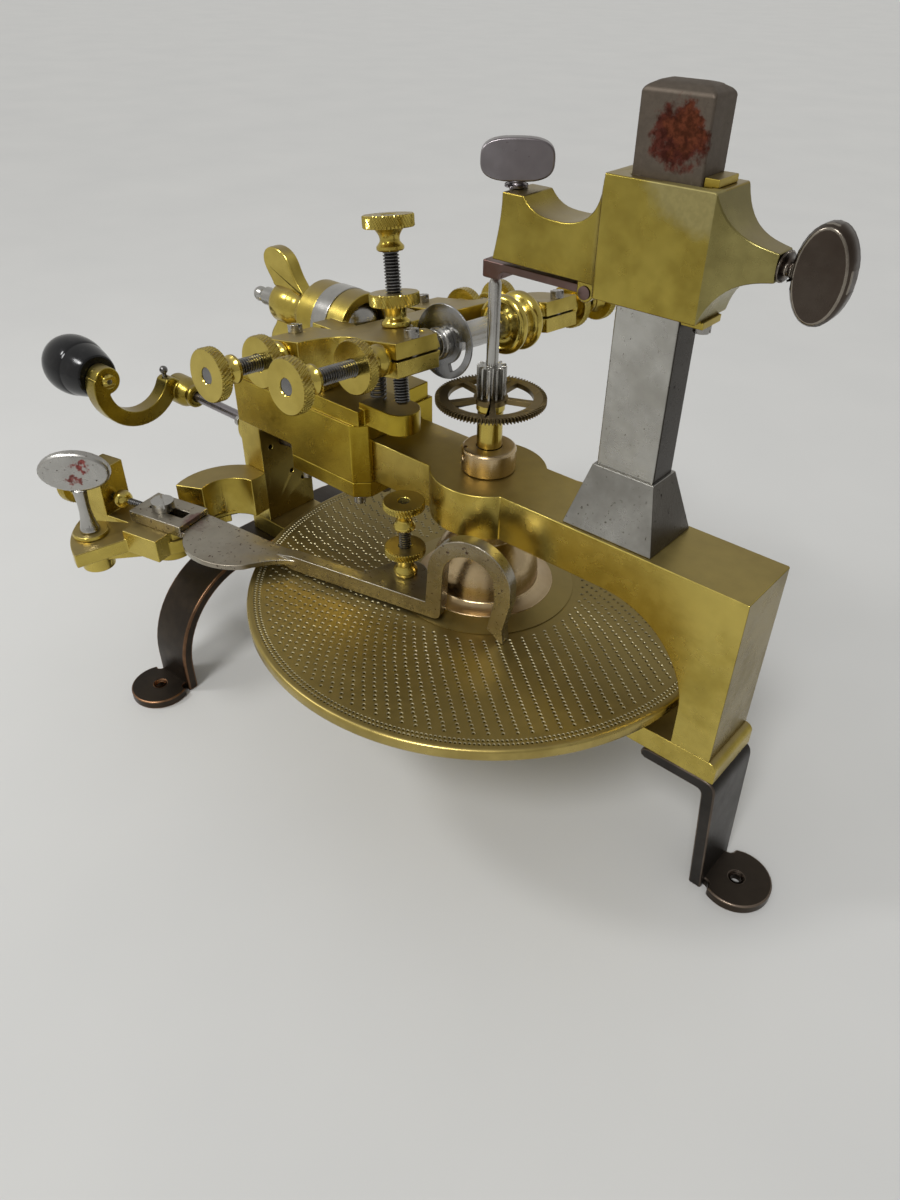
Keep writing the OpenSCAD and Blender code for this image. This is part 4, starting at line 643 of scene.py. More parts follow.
class Finish(Enum):
    """The engine's finishes, each with its bright, aged, specked and dull tone first."""

    BRASS = MetalFinish("aged_brass", *BRASS_TONES, age=0.45, specks=0.15, tops=0.8, smooth=0.25, matte=0.46)
    BRASS_UPRIGHT = MetalFinish(
        "aged_brass_upright", (0.4, 0.315, 0.065), (0.27, 0.2, 0.035), BRASS_SPECK, BRASS_DULL,
        specks=0.15, tops=0.6, smooth=0.22, grain=Grain.ALONG_Z,
        stains=(Stain((75.0, -10.5, 231.5), (30.0, 8.0, 17.0), (0.36, 0.31, 0.13), 1.6, 0.4),))
    # Darker, greyer copy of the brass: painted shade on the overarm's taper, which faces away from the light.
    BRASS_TAPER_SHADED = MetalFinish(
        "aged_brass_taper_painted_shade", (0.33, 0.285, 0.105), (0.22, 0.185, 0.065), BRASS_SPECK, (0.22, 0.17, 0.065),
        tops=0.7, grain=Grain.ALONG_Z)
    # Its side colour paints shade on the frame's right-hand faces.
    BRASS_FRAME = MetalFinish(
        "frame_brass", (0.58, 0.46, 0.115), (0.43, 0.33, 0.07), BRASS_SPECK, (0.275, 0.21, 0.08),
        age=0.42, specks=0.12, tops=0.8, matte=0.46, lines=0.04, side=(0.45, 0.43, 0.45))
    BRASS_SADDLE = MetalFinish(
        "saddle_brass", (0.42, 0.31, 0.035), (0.3, 0.205, 0.018), (0.14, 0.095, 0.015), (0.27, 0.205, 0.08),
        age=0.45, specks=0.15, tops=0.8, smooth=0.22, matte=0.46, lines=0.04)
    BRASS_TURNED = MetalFinish(
        "turned_brass", *BRASS_TONES, age=0.42, tops=0.75, smooth=0.16, matte=0.44, grain=Grain.ALONG_Y, lines=0.03)
    BRASS_PLATE = MetalFinish(
        "plate_brass", (0.48, 0.375, 0.125), (0.375, 0.287, 0.088), (0.10, 0.07, 0.025), (0.262, 0.2, 0.07),
        age=0.45, tops=0.97, smooth=0.26, matte=0.46, grain=Grain.TURNED)
    WHEEL_BRONZE = MetalFinish(
        "wheel_bronze", (0.21, 0.155, 0.07), (0.135, 0.1, 0.045), (0.07, 0.05, 0.025), (0.165, 0.122, 0.058),
        tops=0.7, smooth=0.3, matte=0.5, grain=Grain.TURNED)
    BRONZE = MetalFinish(
        "red_bronze", (0.56, 0.43, 0.25), (0.46, 0.335, 0.18), (0.13, 0.08, 0.045), (0.33, 0.25, 0.16),
        age=0.4, tops=0.5, grain=Grain.TURNED, lines=0.08)
    STEEL = MetalFinish("bright_steel", *STEEL_TONES, age=0.35, specks=0.25, smooth=0.22, matte=0.4)
    POLISHED = MetalFinish("polished_steel", *STEEL_TONES, age=0.2, specks=0.1, smooth=0.1, matte=0.3, lines=0.02)
    CUTTER_STEEL = MetalFinish(
        "cutter_steel", (0.3, 0.3, 0.3), (0.2, 0.198, 0.195), (0.06, 0.055, 0.05), (0.2, 0.195, 0.19),
        age=0.45, specks=0.3, grain=Grain.TURNED, lines=0.12, centre=(-21.4, 0.45, 166.9), turn=(85.1, 0.0, 0.0))
    # Its side colour paints deep shade on the column's right-hand face.
    COLUMN = MetalFinish(
        "column_steel", (0.47, 0.46, 0.425), (0.36, 0.348, 0.315), (0.12, 0.105, 0.085), (0.19, 0.17, 0.145),
        age=0.4, specks=0.5, tops=0.5, matte=0.4, lines=0.07, side=(0.08, 0.068, 0.058),
        stains=(
            Stain((56.6, 0.0, 262.0), (30.0, 26.0, 40.0), (0.14, 0.115, 0.092), 2.4, 0.9),
            Stain((58.4, -5.7, 239.8), (13.0, 3.5, 12.5), (0.145, 0.045, 0.032), 1.05, 1.3),
            Stain((59.6, -5.7, 241.0), (11.0, 3.5, 11.0), (0.25, 0.085, 0.045), 0.7, 1.7)))
    # Its side colour paints shade on the foot's right-hand face.
    COLUMN_FOOT = MetalFinish(
        "column_foot_steel", (0.4, 0.39, 0.36), (0.27, 0.26, 0.235), (0.09, 0.08, 0.065), (0.3, 0.29, 0.26),
        age=0.55, specks=0.75, smooth=0.26, matte=0.44, grain=Grain.ALONG_Z, lines=0.22, side=(0.3, 0.275, 0.25))
    ARM_STEEL = MetalFinish(
        "index_steel", (0.4, 0.37, 0.305), (0.28, 0.245, 0.19), (0.08, 0.05, 0.04), (0.25, 0.222, 0.178),
        age=0.45, specks=0.8, tops=0.5, lines=0.07, turn=(0.0, 0.0, 12.9),
        stains=(Stain((-104.0, -55.0, 87.0), (13.0, 14.0, 5.0), (0.19, 0.125, 0.115), 0.7, 0.6),
                Stain((-72.0, -42.0, 87.0), (22.0, 6.0, 5.0), (0.15, 0.11, 0.085))))
    THUMB_STEEL = MetalFinish(
        "stained_steel", *STEEL_TONES, age=0.3, specks=0.65, smooth=0.26, matte=0.4,
        stains=(Stain((-139.6, -80.2, 109.6), (6.5, 6.5, 5.5), (0.36, 0.10, 0.09), 0.85),
                Stain((-142.6, -83.4, 103.5), (7.5, 7.5, 5.0), (0.34, 0.12, 0.105), 0.75)))
    GREY_STEEL = MetalFinish(
        "grey_violet_steel", (0.26, 0.24, 0.25), (0.19, 0.17, 0.175), (0.07, 0.055, 0.055), (0.17, 0.155, 0.155),
        age=0.45, specks=0.4, smooth=0.26)
    BROWNED = MetalFinish(
        "browned_steel", (0.085, 0.068, 0.055), (0.06, 0.045, 0.035), (0.03, 0.02, 0.015), (0.06, 0.05, 0.04),
        specks=0.3, smooth=0.26, matte=0.44, lines=0.06)
    BROWNED_EDGE = MetalFinish(
        "worn_browned_edge", (0.3, 0.265, 0.22), (0.1, 0.08, 0.065), (0.05, 0.035, 0.025), (0.2, 0.17, 0.13),
        age=0.4, specks=0.3, matte=0.4)
    BLACK = MetalFinish(
        "blackened_steel", (0.24, 0.236, 0.235), (0.14, 0.135, 0.13), (0.03, 0.025, 0.02), (0.08, 0.075, 0.07),
        matte=0.4)
    # Dark brass on the index holes' bottoms: painted shade inside the holes.
    HOLE_SHADE = MetalFinish(
        "hole_painted_shade", (0.13, 0.095, 0.022), (0.075, 0.054, 0.014), (0.04, 0.028, 0.01), (0.08, 0.06, 0.02),
        smooth=0.3, matte=0.5)
    # Paler, cream-toned brass on the hole walls: a painted highlight on their lit far sides.
    HOLE_WALL_HIGHLIGHT = MetalFinish(
        "hole_wall_painted_highlight", (0.44, 0.395, 0.25), (0.34, 0.3, 0.185), (0.10, 0.07, 0.025), (0.3, 0.26, 0.15),
        smooth=0.36, matte=0.5)
    # Very dark steel for the roots of cut threads.
    THREAD_ROOT_DARK = MetalFinish(
        "thread_root_dark", (0.028, 0.026, 0.025), (0.018, 0.016, 0.015), (0.01, 0.008, 0.007), (0.02, 0.018, 0.016),
        smooth=0.4, matte=0.55)
    RUSTY = MetalFinish(
        "rust_brown_steel", (0.17, 0.115, 0.105), (0.14, 0.065, 0.05), (0.05, 0.03, 0.025), (0.13, 0.085, 0.075),
        age=0.55, specks=0.5, smooth=0.36, matte=0.55)
    FOOT_BRONZE = MetalFinish(
        "dark_foot_bronze", (0.062, 0.047, 0.034), (0.036, 0.029, 0.023), (0.12, 0.062, 0.034),
        (0.034, 0.028, 0.023), specks=0.35, tops=0.6, smooth=0.34, matte=0.5, lines=0.1)
    FOOT_EDGE = MetalFinish(
        "worn_foot_edge", (0.36, 0.195, 0.105), (0.13, 0.074, 0.043), (0.05, 0.033, 0.024), (0.17, 0.10, 0.06),
        age=0.6, specks=0.5, smooth=0.3)
    FOOT_STEEL = MetalFinish(
        "dark_foot_steel", (0.06, 0.054, 0.05), (0.04, 0.036, 0.032), (0.02, 0.016, 0.013), (0.04, 0.037, 0.034),
        specks=0.35, smooth=0.36, matte=0.5, lines=0.1)
    FOOT_STEEL_EDGE = MetalFinish(
        "worn_foot_steel_edge", (0.20, 0.155, 0.12), (0.10, 0.08, 0.065), (0.04, 0.03, 0.025), (0.11, 0.09, 0.07),
        age=0.6, specks=0.5, smooth=0.32, matte=0.45)
    EBONISED = WoodFinish("ebonised_wood", (0.006, 0.006, 0.0065), (0.014, 0.0135, 0.014))


@dataclass
class Shelf:
    """Keeps the shared node groups and makes each finish once."""

    groups: dict[str, Tree] = field(default_factory=dict)
    made: dict[Finish, Material] = field(default_factory=dict)

    def __post_init__(self) -> None:
        """Builds the shared groups."""
        for build in (worn_metal_group, filed_lines_group, turned_lines_group, stain_group):
            tree = build()
            self.groups[tree.name] = tree

    def dress(self, obj: Obj, *finishes: Finish) -> None:
        """Gives an object these finishes as its material slots."""
        for finish in finishes:
            if finish not in self.made:
                self.made[finish] = finish.value.make(self.groups)
        paint(obj, *(self.made[finish] for finish in finishes))


# Sub-assemblies


@dataclass
class SubAssembly:
    """A group of pieces that are built and dressed together."""

    shelf: Shelf

    def mount(self, obj: Obj, node: str, *finishes: Finish) -> None:
        """Dresses a piece and puts it in a solid's place.

        Args:
            obj: The piece, in its place.
            node: The solid that it stands for.
            finishes: Finish of each material slot; none keeps the slots as they are.
        """
        if finishes:
            self.shelf.dress(obj, *finishes)
        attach(obj, BODY_OF[node])
        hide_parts(node)
        LOG.info("piece %s for %s: %d faces", obj.name, node, len(obj.data.polygons))

    def ease(self, obj: Obj, finishes: tuple[Finish, ...], width: float, segments: int = 2, **edges: float) -> Obj:
        """Dresses an object, rounds its edges as soften does, and hands it back."""
        self.shelf.dress(obj, *finishes)
        soften(obj, width, segments, **edges)
        return obj

    def eased(self, finish: Finish, width: float, *nodes: str, segments: int = 2) -> None:
        """Puts copies with rounded edges in solids' places."""
        for node in nodes:
            self.mount(self.ease(copy_of(node, f"{node}_eased"), (finish,), width, segments), node)

    def cheese(self, node: str) -> None:
        """Puts a copy of slotted screws with finely broken edges in their solid's place."""
        self.mount(self.ease(copy_of(node, f"{node}_slotted"), (Finish.STEEL,), 0.2, clamp=True), node)

    def plain(self, finish: Finish, node: str) -> None:
        """Dresses a solid whose own shape is shown."""
        self.shelf.dress(frame["nodes"][node], finish)
        LOG.info("solid %s in %s", node, finish.name)


@dataclass(frozen=True)
class ScrewSizes:
    """Sizes of the knurled screws and nuts in millimetres."""

    head_r: float = 8.5
    head_t: float = 4.0
    ease: float = 0.35
    ridges: int = 42
    rows: int = 7
    knurl_depth: float = 0.6
    pitch: float = 1.0
    cut: float = 0.5
    row_fit: float = 0.02
    groove_fit: float = 0.12

    def row_heights(self) -> list[float]:
        """Heights of the rim's rows of vertices, from its upper edge down."""
        span = self.head_t - 2 * self.ease
        return [-self.ease - span * i / (self.rows - 1) for i in range(self.rows)]

    def phase(self, spot: Vector) -> int:
        """Step within its ridge of a vertex on the rim, in millimetres: 0 to 3, or -1 off the rim."""
        if abs(spot.xy.length - self.head_r) < self.row_fit:
            for row, height in enumerate(reversed(self.row_heights())):
                if abs(spot.z - height) < self.row_fit:
                    return (round(math.atan2(spot.y, spot.x) / math.tau * 4 * self.ridges) + row) % 4
        return -1

    def head(self, shelf: Shelf, name: str, mouth: list[Point], waist: tuple[float, ...], foot: Triple, neck_h: float,
             bore: list[Point]) -> Obj:
        """Turns a brass head on a waisted neck and knurls its rim.

        Args:
            shelf: Shelf of the finishes.
            name: Name of the head.
            mouth: Outline of the bore's upper end.
            waist: Radii of the waist's control points, as shares of the head's radius.
            foot: Radius of the neck's foot as such a share, step in to its upper edge, and that edge's share of the
                neck's height.
            neck_h: Height of the neck.
            bore: Outline of the bore from its lower end back to its first point.

        Returns:
            The head, about the origin with its outer face at z = 0.
        """
        r, t, inner = self.head_r, self.head_t, self.head_r - self.ease
        outline = [*mouth, (inner, 0.0), *((r, z) for z in self.row_heights()), (inner, -t)]
        outline += curve_points([(r * s, -t - neck_h * d) for s, d in zip(waist, (0.0, 0.25, 0.45, 0.6))], 8)
        wide = r * foot[0]
        outline += [(wide - step, -t - neck_h * drop)
                    for step, drop in ((foot[1], foot[2]), (0.0, 0.8), (0.0, 0.93), (0.5, 1.0))]
        head = lathe(name, outline + bore, 4 * self.ridges)
        for share, pressed in ((0.5, (1, 3)), (1.0, (2,))):
            shrink = 1 - share * self.knurl_depth / r
            stretch(head, lambda spot: self.phase(spot) in pressed, (shrink, shrink, 1))
        shelf.dress(head, Finish.BRASS_TURNED)
        smooth(head, 40)
        return head


@dataclass
class KnurledScrew:
    """A screw with a knurled brass head, a waisted neck and a cut steel thread, along -Z from its face."""

    name: str
    length: float
    radius: float = 2.7
    neck_h: float = 7.0
    point: bool = True
    sizes: ScrewSizes = ScrewSizes()

    def build(self, shelf: Shelf) -> Obj:
        """Models the screw about the origin with its outer face at z = 0."""
        s, r, bottom, tip = self.sizes, self.radius, -self.sizes.head_t - self.neck_h, -self.length
        mouth = [(r - 0.1, -1.0), (r - 0.1, -0.25), (r + 0.15, 0.0)]
        bore = [(r - 0.6, bottom), (r - 0.6, -1.0), (r - 0.1, -1.0)]
        head = s.head(shelf, self.name, mouth, (0.62, 0.4, 0.36, 0.4), (0.54, 0.5, 0.72), self.neck_h, bore)
        end = [(r - 0.3, tip + 2 * r), (0.0, tip)] if self.point else [
            (r - 0.3, tip + 0.8), (r - 0.9, tip), (0.0, tip)]
        rod = [(0.0, -0.3), (r - 1.0, -0.2), (r - 0.2, -0.35), (r - 0.2, -0.9), (r - 0.7, -1.1),
               (r - 0.7, bottom + 0.4)]
        rod += thread_points(r, bottom + 0.2, end[0][1] + 0.1, s.pitch, s.cut) + end
        shank = lathe(f"{self.name}_shank", rod, 40, 30)
        shelf.dress(shank, Finish.BLACK, Finish.THREAD_ROOT_DARK)
        # Faces at the bottom of the thread's groove take the very dark steel.
        reslot(shank, lambda face: abs(face.normal.z) < 0.3
               and abs(face.center.xy.length / MM - r + s.cut) < s.groove_fit)
        return join(self.name, head, shank)


@dataclass
class KnurledNut:
    """A knurled lock nut with a waisted boss, along -Z from its outer face."""

    name: str
    boss_h: float
    radius: float = 2.7
    sizes: ScrewSizes = ScrewSizes()

    def build(self, shelf: Shelf) -> Obj:
        """Models the nut about the origin with its outer face at z = 0."""
        bore = self.radius + 0.05
        return self.sizes.head(
            shelf, self.name, [(bore, -0.3), (bore + 0.3, 0.0)], (0.55, 0.45, 0.405, 0.45), (0.6, 0.4, 0.7),
            self.boss_h, [(bore, -self.sizes.head_t - self.boss_h), (bore, -0.3)])


@dataclass
class Bed(SubAssembly):
    """Bed with its legs and boss, lower bar, feet, column and the fixed spindle point."""

    edge: float = 0.45
    foot_edge: float = 1.0
    pad_edge: float = 0.6
    pad_r: float = 12.6
    pad_t: float = 4.0
    pads: tuple[tuple, ...] = (
        (113.6, 0.0, 0.0, 8.4, Finish.FOOT_STEEL_EDGE), (-122.1, -71.19, -90.0, 7.81, Finish.FOOT_EDGE),
        (-122.1, 71.19, 90.0, 7.81, Finish.FOOT_EDGE))
    strap_w: float = 26.4
    strap_taper: float = 0.78
    strap_limit: float = 40.0
    column_edge: float = 0.8
    foot_x: float = 56.6
    foot_low: float = 127.15
    foot_high: float = 147.9
    foot_wide: Point = (16.25, 11.95)
    foot_top: Point = (10.75, 6.45)
    shaft: Point = (19.9, 11.3)
    crown_edge: float = 248.9
    crown: tuple[Point, ...] = ((1.1, 0.75), (1.2, 0.6), (1.3, 0.45), (1.4, 0.3), (0.4, 0.06))

    def build(self) -> None:
        """Builds and dresses the fixed pieces."""
        self.eased(Finish.BRASS_FRAME, self.edge, "frame", segments=3)
        self.eased(Finish.BRASS, self.edge, "lower_bar", segments=3)
        self.build_column()
        feet = copy_of("left_feet", "left_feet_worn")
        self.ease(feet, (Finish.FOOT_BRONZE, Finish.FOOT_EDGE), self.foot_edge, 3, edge_slot=1)
        self.mount(feet, "left_feet")
        self.build_right_foot()
        self.build_pads()
        self.eased(Finish.BRASS_TURNED, 0.3, "bearing_block")
        self.cheese("frame_screws")
        self.plain(Finish.STEEL, "spindle_point")
        self.eased(Finish.STEEL, 0.4, "point_lock_nut")

    def build_right_foot(self) -> None:
        """Bends the right foot: a strap under the bar that turns down and narrows to its pad."""
        outline = [(84.6, 54.55), *curve_points([(105.6, 54.55), (109.4, 54.55), (110.6, 53.2), (110.8, 49.0)], 6),
                   (113.55, 0.05), (108.8, 0.05), (106.2, 46.4),
                   *curve_points([(106.1, 47.4), (105.9, 49.2), (105.2, 49.85), (103.4, 49.85)], 4),
                   (83.8, 49.85), (82.3, 50.7), (81.9, 52.2), (82.7, 53.8)]
        foot = slab("right_foot_bent", outline, self.strap_w)
        stretch(foot, lambda spot: spot.z < 1.0, (1.0, self.strap_taper, 1.0))
        self.ease(foot, (Finish.FOOT_STEEL, Finish.FOOT_STEEL_EDGE), self.pad_edge, 3, edge_slot=1,
                  limit=self.strap_limit)
        self.mount(foot, "right_foot")

    def build_pads(self) -> None:
        """Builds the round foot pads with a scooped notch on each side of their straps."""
        hole = [(0.0, -6.0), (1.9, -6.0), (1.9, 1.2), (2.6, 1.9), (2.6, 6.0), (0.0, 6.0)]
        made = []
        for x, y, turn, reach, rim in self.pads:
            side = [(-0.6, 8.2), (0.6, 8.25), (1.6, 8.6), (2.3, 9.4), (2.5, 10.3)]
            side += [(reach + u, v) for u, v in arc(self.pad_r, 118, 3, -6)]
            flat = shift(x, y, self.pad_t / 2) @ turned(turn, "Z")
            pad = slab("foot_pad", side + [(u, -v) for u, v in reversed(side)], self.pad_t)
            settle(pad, flat @ turned(90, "X"))
            cut(pad, lathe("pad_hole", hole, 24, place=flat @ shift(reach, 0.0, 0.0)))
            made.append(self.ease(pad, (Finish.FOOT_BRONZE, rim), self.pad_edge, 3, edge_slot=1,
                                  limit=self.strap_limit))
        self.mount(join("foot_pads_notched", *made), "foot_pads")

    def build_column(self) -> None:
        """Builds the column with a flared foot that stands proud of its shaft by a narrow ledge."""
        x, low, high, edge = self.foot_x, self.foot_low, self.foot_high, self.crown_edge
        shaft = block("column_on_foot", (*self.shaft, edge - low), shift(x, 0.0, (low + edge) / 2))
        pick(shaft, lambda spot: spot.z > high)
        for inset, rise in self.crown:
            bpy.ops.mesh.inset(thickness=inset * MM, depth=rise * MM, use_even_offset=True)
        to_objects()
        self.ease(shaft, (Finish.COLUMN,), self.column_edge, 3, limit=36.0)
        middle = (low + high) / 2
        foot = block("column_foot", (*(2 * wide for wide in self.foot_wide), high - low), shift(x, 0.0, middle))
        taper = (top / wide for top, wide in zip(self.foot_top, self.foot_wide))
        stretch(foot, lambda spot: spot.z > middle, (*taper, 1.0), (x, 0.0, high))
        self.ease(foot, (Finish.COLUMN_FOOT,), 0.35)
        self.mount(join("column_on_foot", shaft, foot), "column")


@dataclass
class Overarm(SubAssembly):
    """Overarm on the column with its clamp, centre finger and thumbscrews."""

    edge: float = 0.45
    taper_x: float = 72.4
    paddle: Triple = (21.0, 11.4, 4.4)
    paddle_power: float = 2.9
    paddle_turn: float = 38.0
    clamp_head_x: float = 86.0
    clamp_swell: float = 1.45

    def build(self) -> None:
        """Builds and dresses the overarm's pieces."""
        self.build_arm()
        self.eased(Finish.BRASS, 0.3, "overarm_gib")
        self.cheese("gib_screw")
        self.build_clamp()
        self.eased(Finish.RUSTY, 0.4, "centre_finger", segments=3)
        self.build_pin()
        self.build_thumb()

    def build_arm(self) -> None:
        """Dresses the overarm, with its taper in a darker, greyer brass than its block, a painted shade on the side
        away from the light.
        """
        arm = copy_of("overarm", "overarm_eased")
        self.ease(arm, (Finish.BRASS_UPRIGHT, Finish.BRASS_TAPER_SHADED), self.edge, 3, limit=28.0)
        # Faces beyond taper_x take the darker copy of the brass as painted shade.
        reslot(arm, lambda face: face.center.x / MM > self.taper_x)
        self.mount(arm, "overarm")

    def build_thumb(self) -> None:
        """Builds the finger's thumbscrew with a full, nearly straight sided paddle."""
        low, high = (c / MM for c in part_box("finger_thumbscrew"))
        halves = (self.paddle[0] / 2, self.paddle[1] / 2)
        power = 2 / self.paddle_power
        outline = [tuple(math.copysign(abs(c) ** power, c) * half for c, half in zip(spot, halves))
                   for spot in arc(1.0, 0, 360, 6)]
        screw = copy_of("finger_thumbscrew", "finger_thumbscrew_paddle")
        paddle = slab("paddle", outline, self.paddle[2])
        for obj in (screw, paddle):
            self.ease(obj, (Finish.GREY_STEEL,), 0.6, 3)
        settle(paddle, shift((low.x + high.x) / 2, (low.y + high.y) / 2, high.z - halves[1])
               @ turned(self.paddle_turn, "Z"))
        self.mount(join("finger_thumbscrew_paddle", screw, paddle), "finger_thumbscrew")

    def build_pin(self) -> None:
        """Turns the finger's pin with a rivet head at each end, along Y."""
        low, high = (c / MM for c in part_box("finger_pin"))
        r, half = (high.x - low.x) / 2, (high.y - low.y) / 2
        cap = [(0.0, half + 0.5), (r * 0.7, half + 0.4), (r + 0.7, half), (r + 0.7, half - 0.1), (r, half - 0.1)]
        pin = lathe("finger_pin_riveted", cap + [(u, -v) for u, v in reversed(cap)], 32, 40,
                    shift(*(low + high) / 2) @ turned(90, "X"))
        self.mount(pin, "finger_pin", Finish.RUSTY)

    def build_clamp(self) -> None:
        """Builds the clamp thumbscrew with a thick browned head."""
        clamp = copy_of("overarm_clamp_screw", "overarm_clamp_browned")
        stretch(clamp, lambda spot: spot.x > self.clamp_head_x, (1.0, self.clamp_swell, 1.0))
        self.ease(clamp, (Finish.BROWNED, Finish.BROWNED_EDGE), 0.4, edge_slot=1)
        self.mount(clamp, "overarm_clamp_screw")


@dataclass
class DividingSpindle(SubAssembly):
    """Dividing plate with its index circles, hub, spindle and the clock wheel on its arbor."""

    plate_r: float = 90.0
    plate_top: float = 78.5
    plate_t: float = 5.0
    under_round: float = 1.6
    top_round: float = 1.4
    bore_r: float = 7.0
    edge_circles: tuple[tuple[float, int], ...] = ((87.0, 366), (85.4, 360))
    edge_share: float = 0.86
    first_circle: float = 82.4
    last_circle: float = 36.0
    circle_step: float = 1.72
    hole_pitch: float = 4.61
    hole_r: float = 0.64
    hole_foot: float = 0.72
    hole_mouth: float = 1.2
    hole_depth: float = 0.62
    hole_middle: float = 0.16
    hole_sides: int = 8
    start_angle: float = -36.6
    tommy_angle: float = -128.0
    flange_root: float = 22.5
    flange_wide: float = 1.3
    flange_t: float = 1.75
    flange_drop: float = 1.05

    def build(self) -> None:
        """Builds and dresses the turning pieces."""
        self.build_plate()
        self.build_hub()
        self.plain(Finish.STEEL, "spindle")
        self.build_collar()
        self.eased(Finish.BRASS_TURNED, 0.3, "work_holder")
        self.eased(Finish.WHEEL_BRONZE, 0.12, "work_wheel", segments=1)
        self.eased(Finish.STEEL, 0.12, "work_arbor", segments=1)

    def build_hub(self) -> None:
        """Builds the domed hub on its wide thin flange."""
        top, root = self.plate_top, self.flange_root
        lip = top + self.flange_t
        hub = self.ease(copy_of("plate_hub", "plate_hub_flanged"), (Finish.BRONZE, Finish.BRASS_PLATE), 0.3)
        reslot(hub, lambda face: face.center.z / MM < lip and face.center.xy.length / MM > root - 2.2)
        wide = self.flange_wide
        stretch(hub, lambda spot: spot.z < lip and spot.xy.length > root, (wide, wide, 1))
        pick(hub, lambda spot: top + 0.6 < spot.z < lip and spot.xy.length > root)
        bpy.ops.transform.translate(value=(0.0, 0.0, -self.flange_drop * MM))
        to_objects()
        self.mount(hub, "plate_hub")

    def build_collar(self) -> None:
        """Builds the collar with a tommy hole in its shoulder."""
        collar = self.ease(copy_of("spindle_collar", "spindle_collar_drilled"), (Finish.BRONZE,), 0.4, 3)
        lean = turned(self.tommy_angle, "Z") @ shift(8.2, 0.0, 135.6) @ turned(30.0, "Y")
        cut(collar, lathe("tommy_hole", [(0.0, -6.0), (0.75, -6.0), (0.75, 6.0), (0.0, 6.0)], 24, place=lean))
        self.mount(collar, "spindle_collar")

    def circles(self) -> list[tuple[float, int, float]]:
        """Radius, hole count and hole radius of every index circle."""
        rows = [(radius, count, self.hole_r * self.edge_share) for radius, count in self.edge_circles]
        radius = self.first_circle
        while radius >= self.last_circle:
            rows.append((radius, round(math.tau * radius / self.hole_pitch), self.hole_r))
            radius -= self.circle_step
        return rows

    def build_drill(self) -> Obj:
        """Builds the tool that drills all index holes at once."""
        rest_bench()
        bpy.ops.mesh.primitive_cone_add(vertices=self.hole_sides, radius1=MM, radius2=MM, depth=MM)
        drill = bpy.context.object
        edit_all(drill)
        bpy.ops.mesh.delete(type="VERT")
        start = turned(self.start_angle, "Z")
        for radius, count, size in self.circles():
            bpy.ops.mesh.primitive_cone_add(
                vertices=self.hole_sides, radius1=size * self.hole_foot * MM, radius2=size * self.hole_mouth * MM,
                depth=size * self.hole_depth * MM,
                location=start @ Vector((radius, 0.0, self.plate_top - size * self.hole_middle)) * MM)
            bpy.ops.mesh.spin(steps=count - 1, dupli=True, angle=math.tau * (count - 1) / count,
                              center=(0, 0, 0), axis=(0, 0, 1))
        to_objects()
        return drill

    def build_plate(self) -> None:
        """Turns the plate and drills its index holes."""
        r, top, base = self.plate_r, self.plate_top, self.plate_top - self.plate_t
        rim = [(r - self.under_round + u, base + self.under_round + v) for u, v in arc(self.under_round, -90, 1, 15)]
        rim += [(r - self.top_round + u, top - self.top_round + v) for u, v in arc(self.top_round, 0, 91, 15)]
        plate = lathe("drilled_plate", [(self.bore_r, base), *rim, (self.bore_r, top), (self.bore_r, base)], 256)
        cut(plate, self.build_drill())
        smooth(plate, 30)

        def hole_slot(face: Face) -> int:
            """Slot of a face: 0 on the plate, 1 on a hole's wall, 2 on its bottom, which is painted dark as shade."""
            sunk = -1.0 < face.center.z / MM - top < -0.02 and face.center.xy.length / MM < r - 1.8
            return sunk + (sunk and face.normal.z > 0.9)

        # The hole walls get the paler brass as a painted highlight.
        self.shelf.dress(plate, Finish.BRASS_PLATE, Finish.HOLE_WALL_HIGHLIGHT, Finish.HOLE_SHADE)
        reslot(plate, hole_slot)
        self.mount(plate, "dividing_plate")


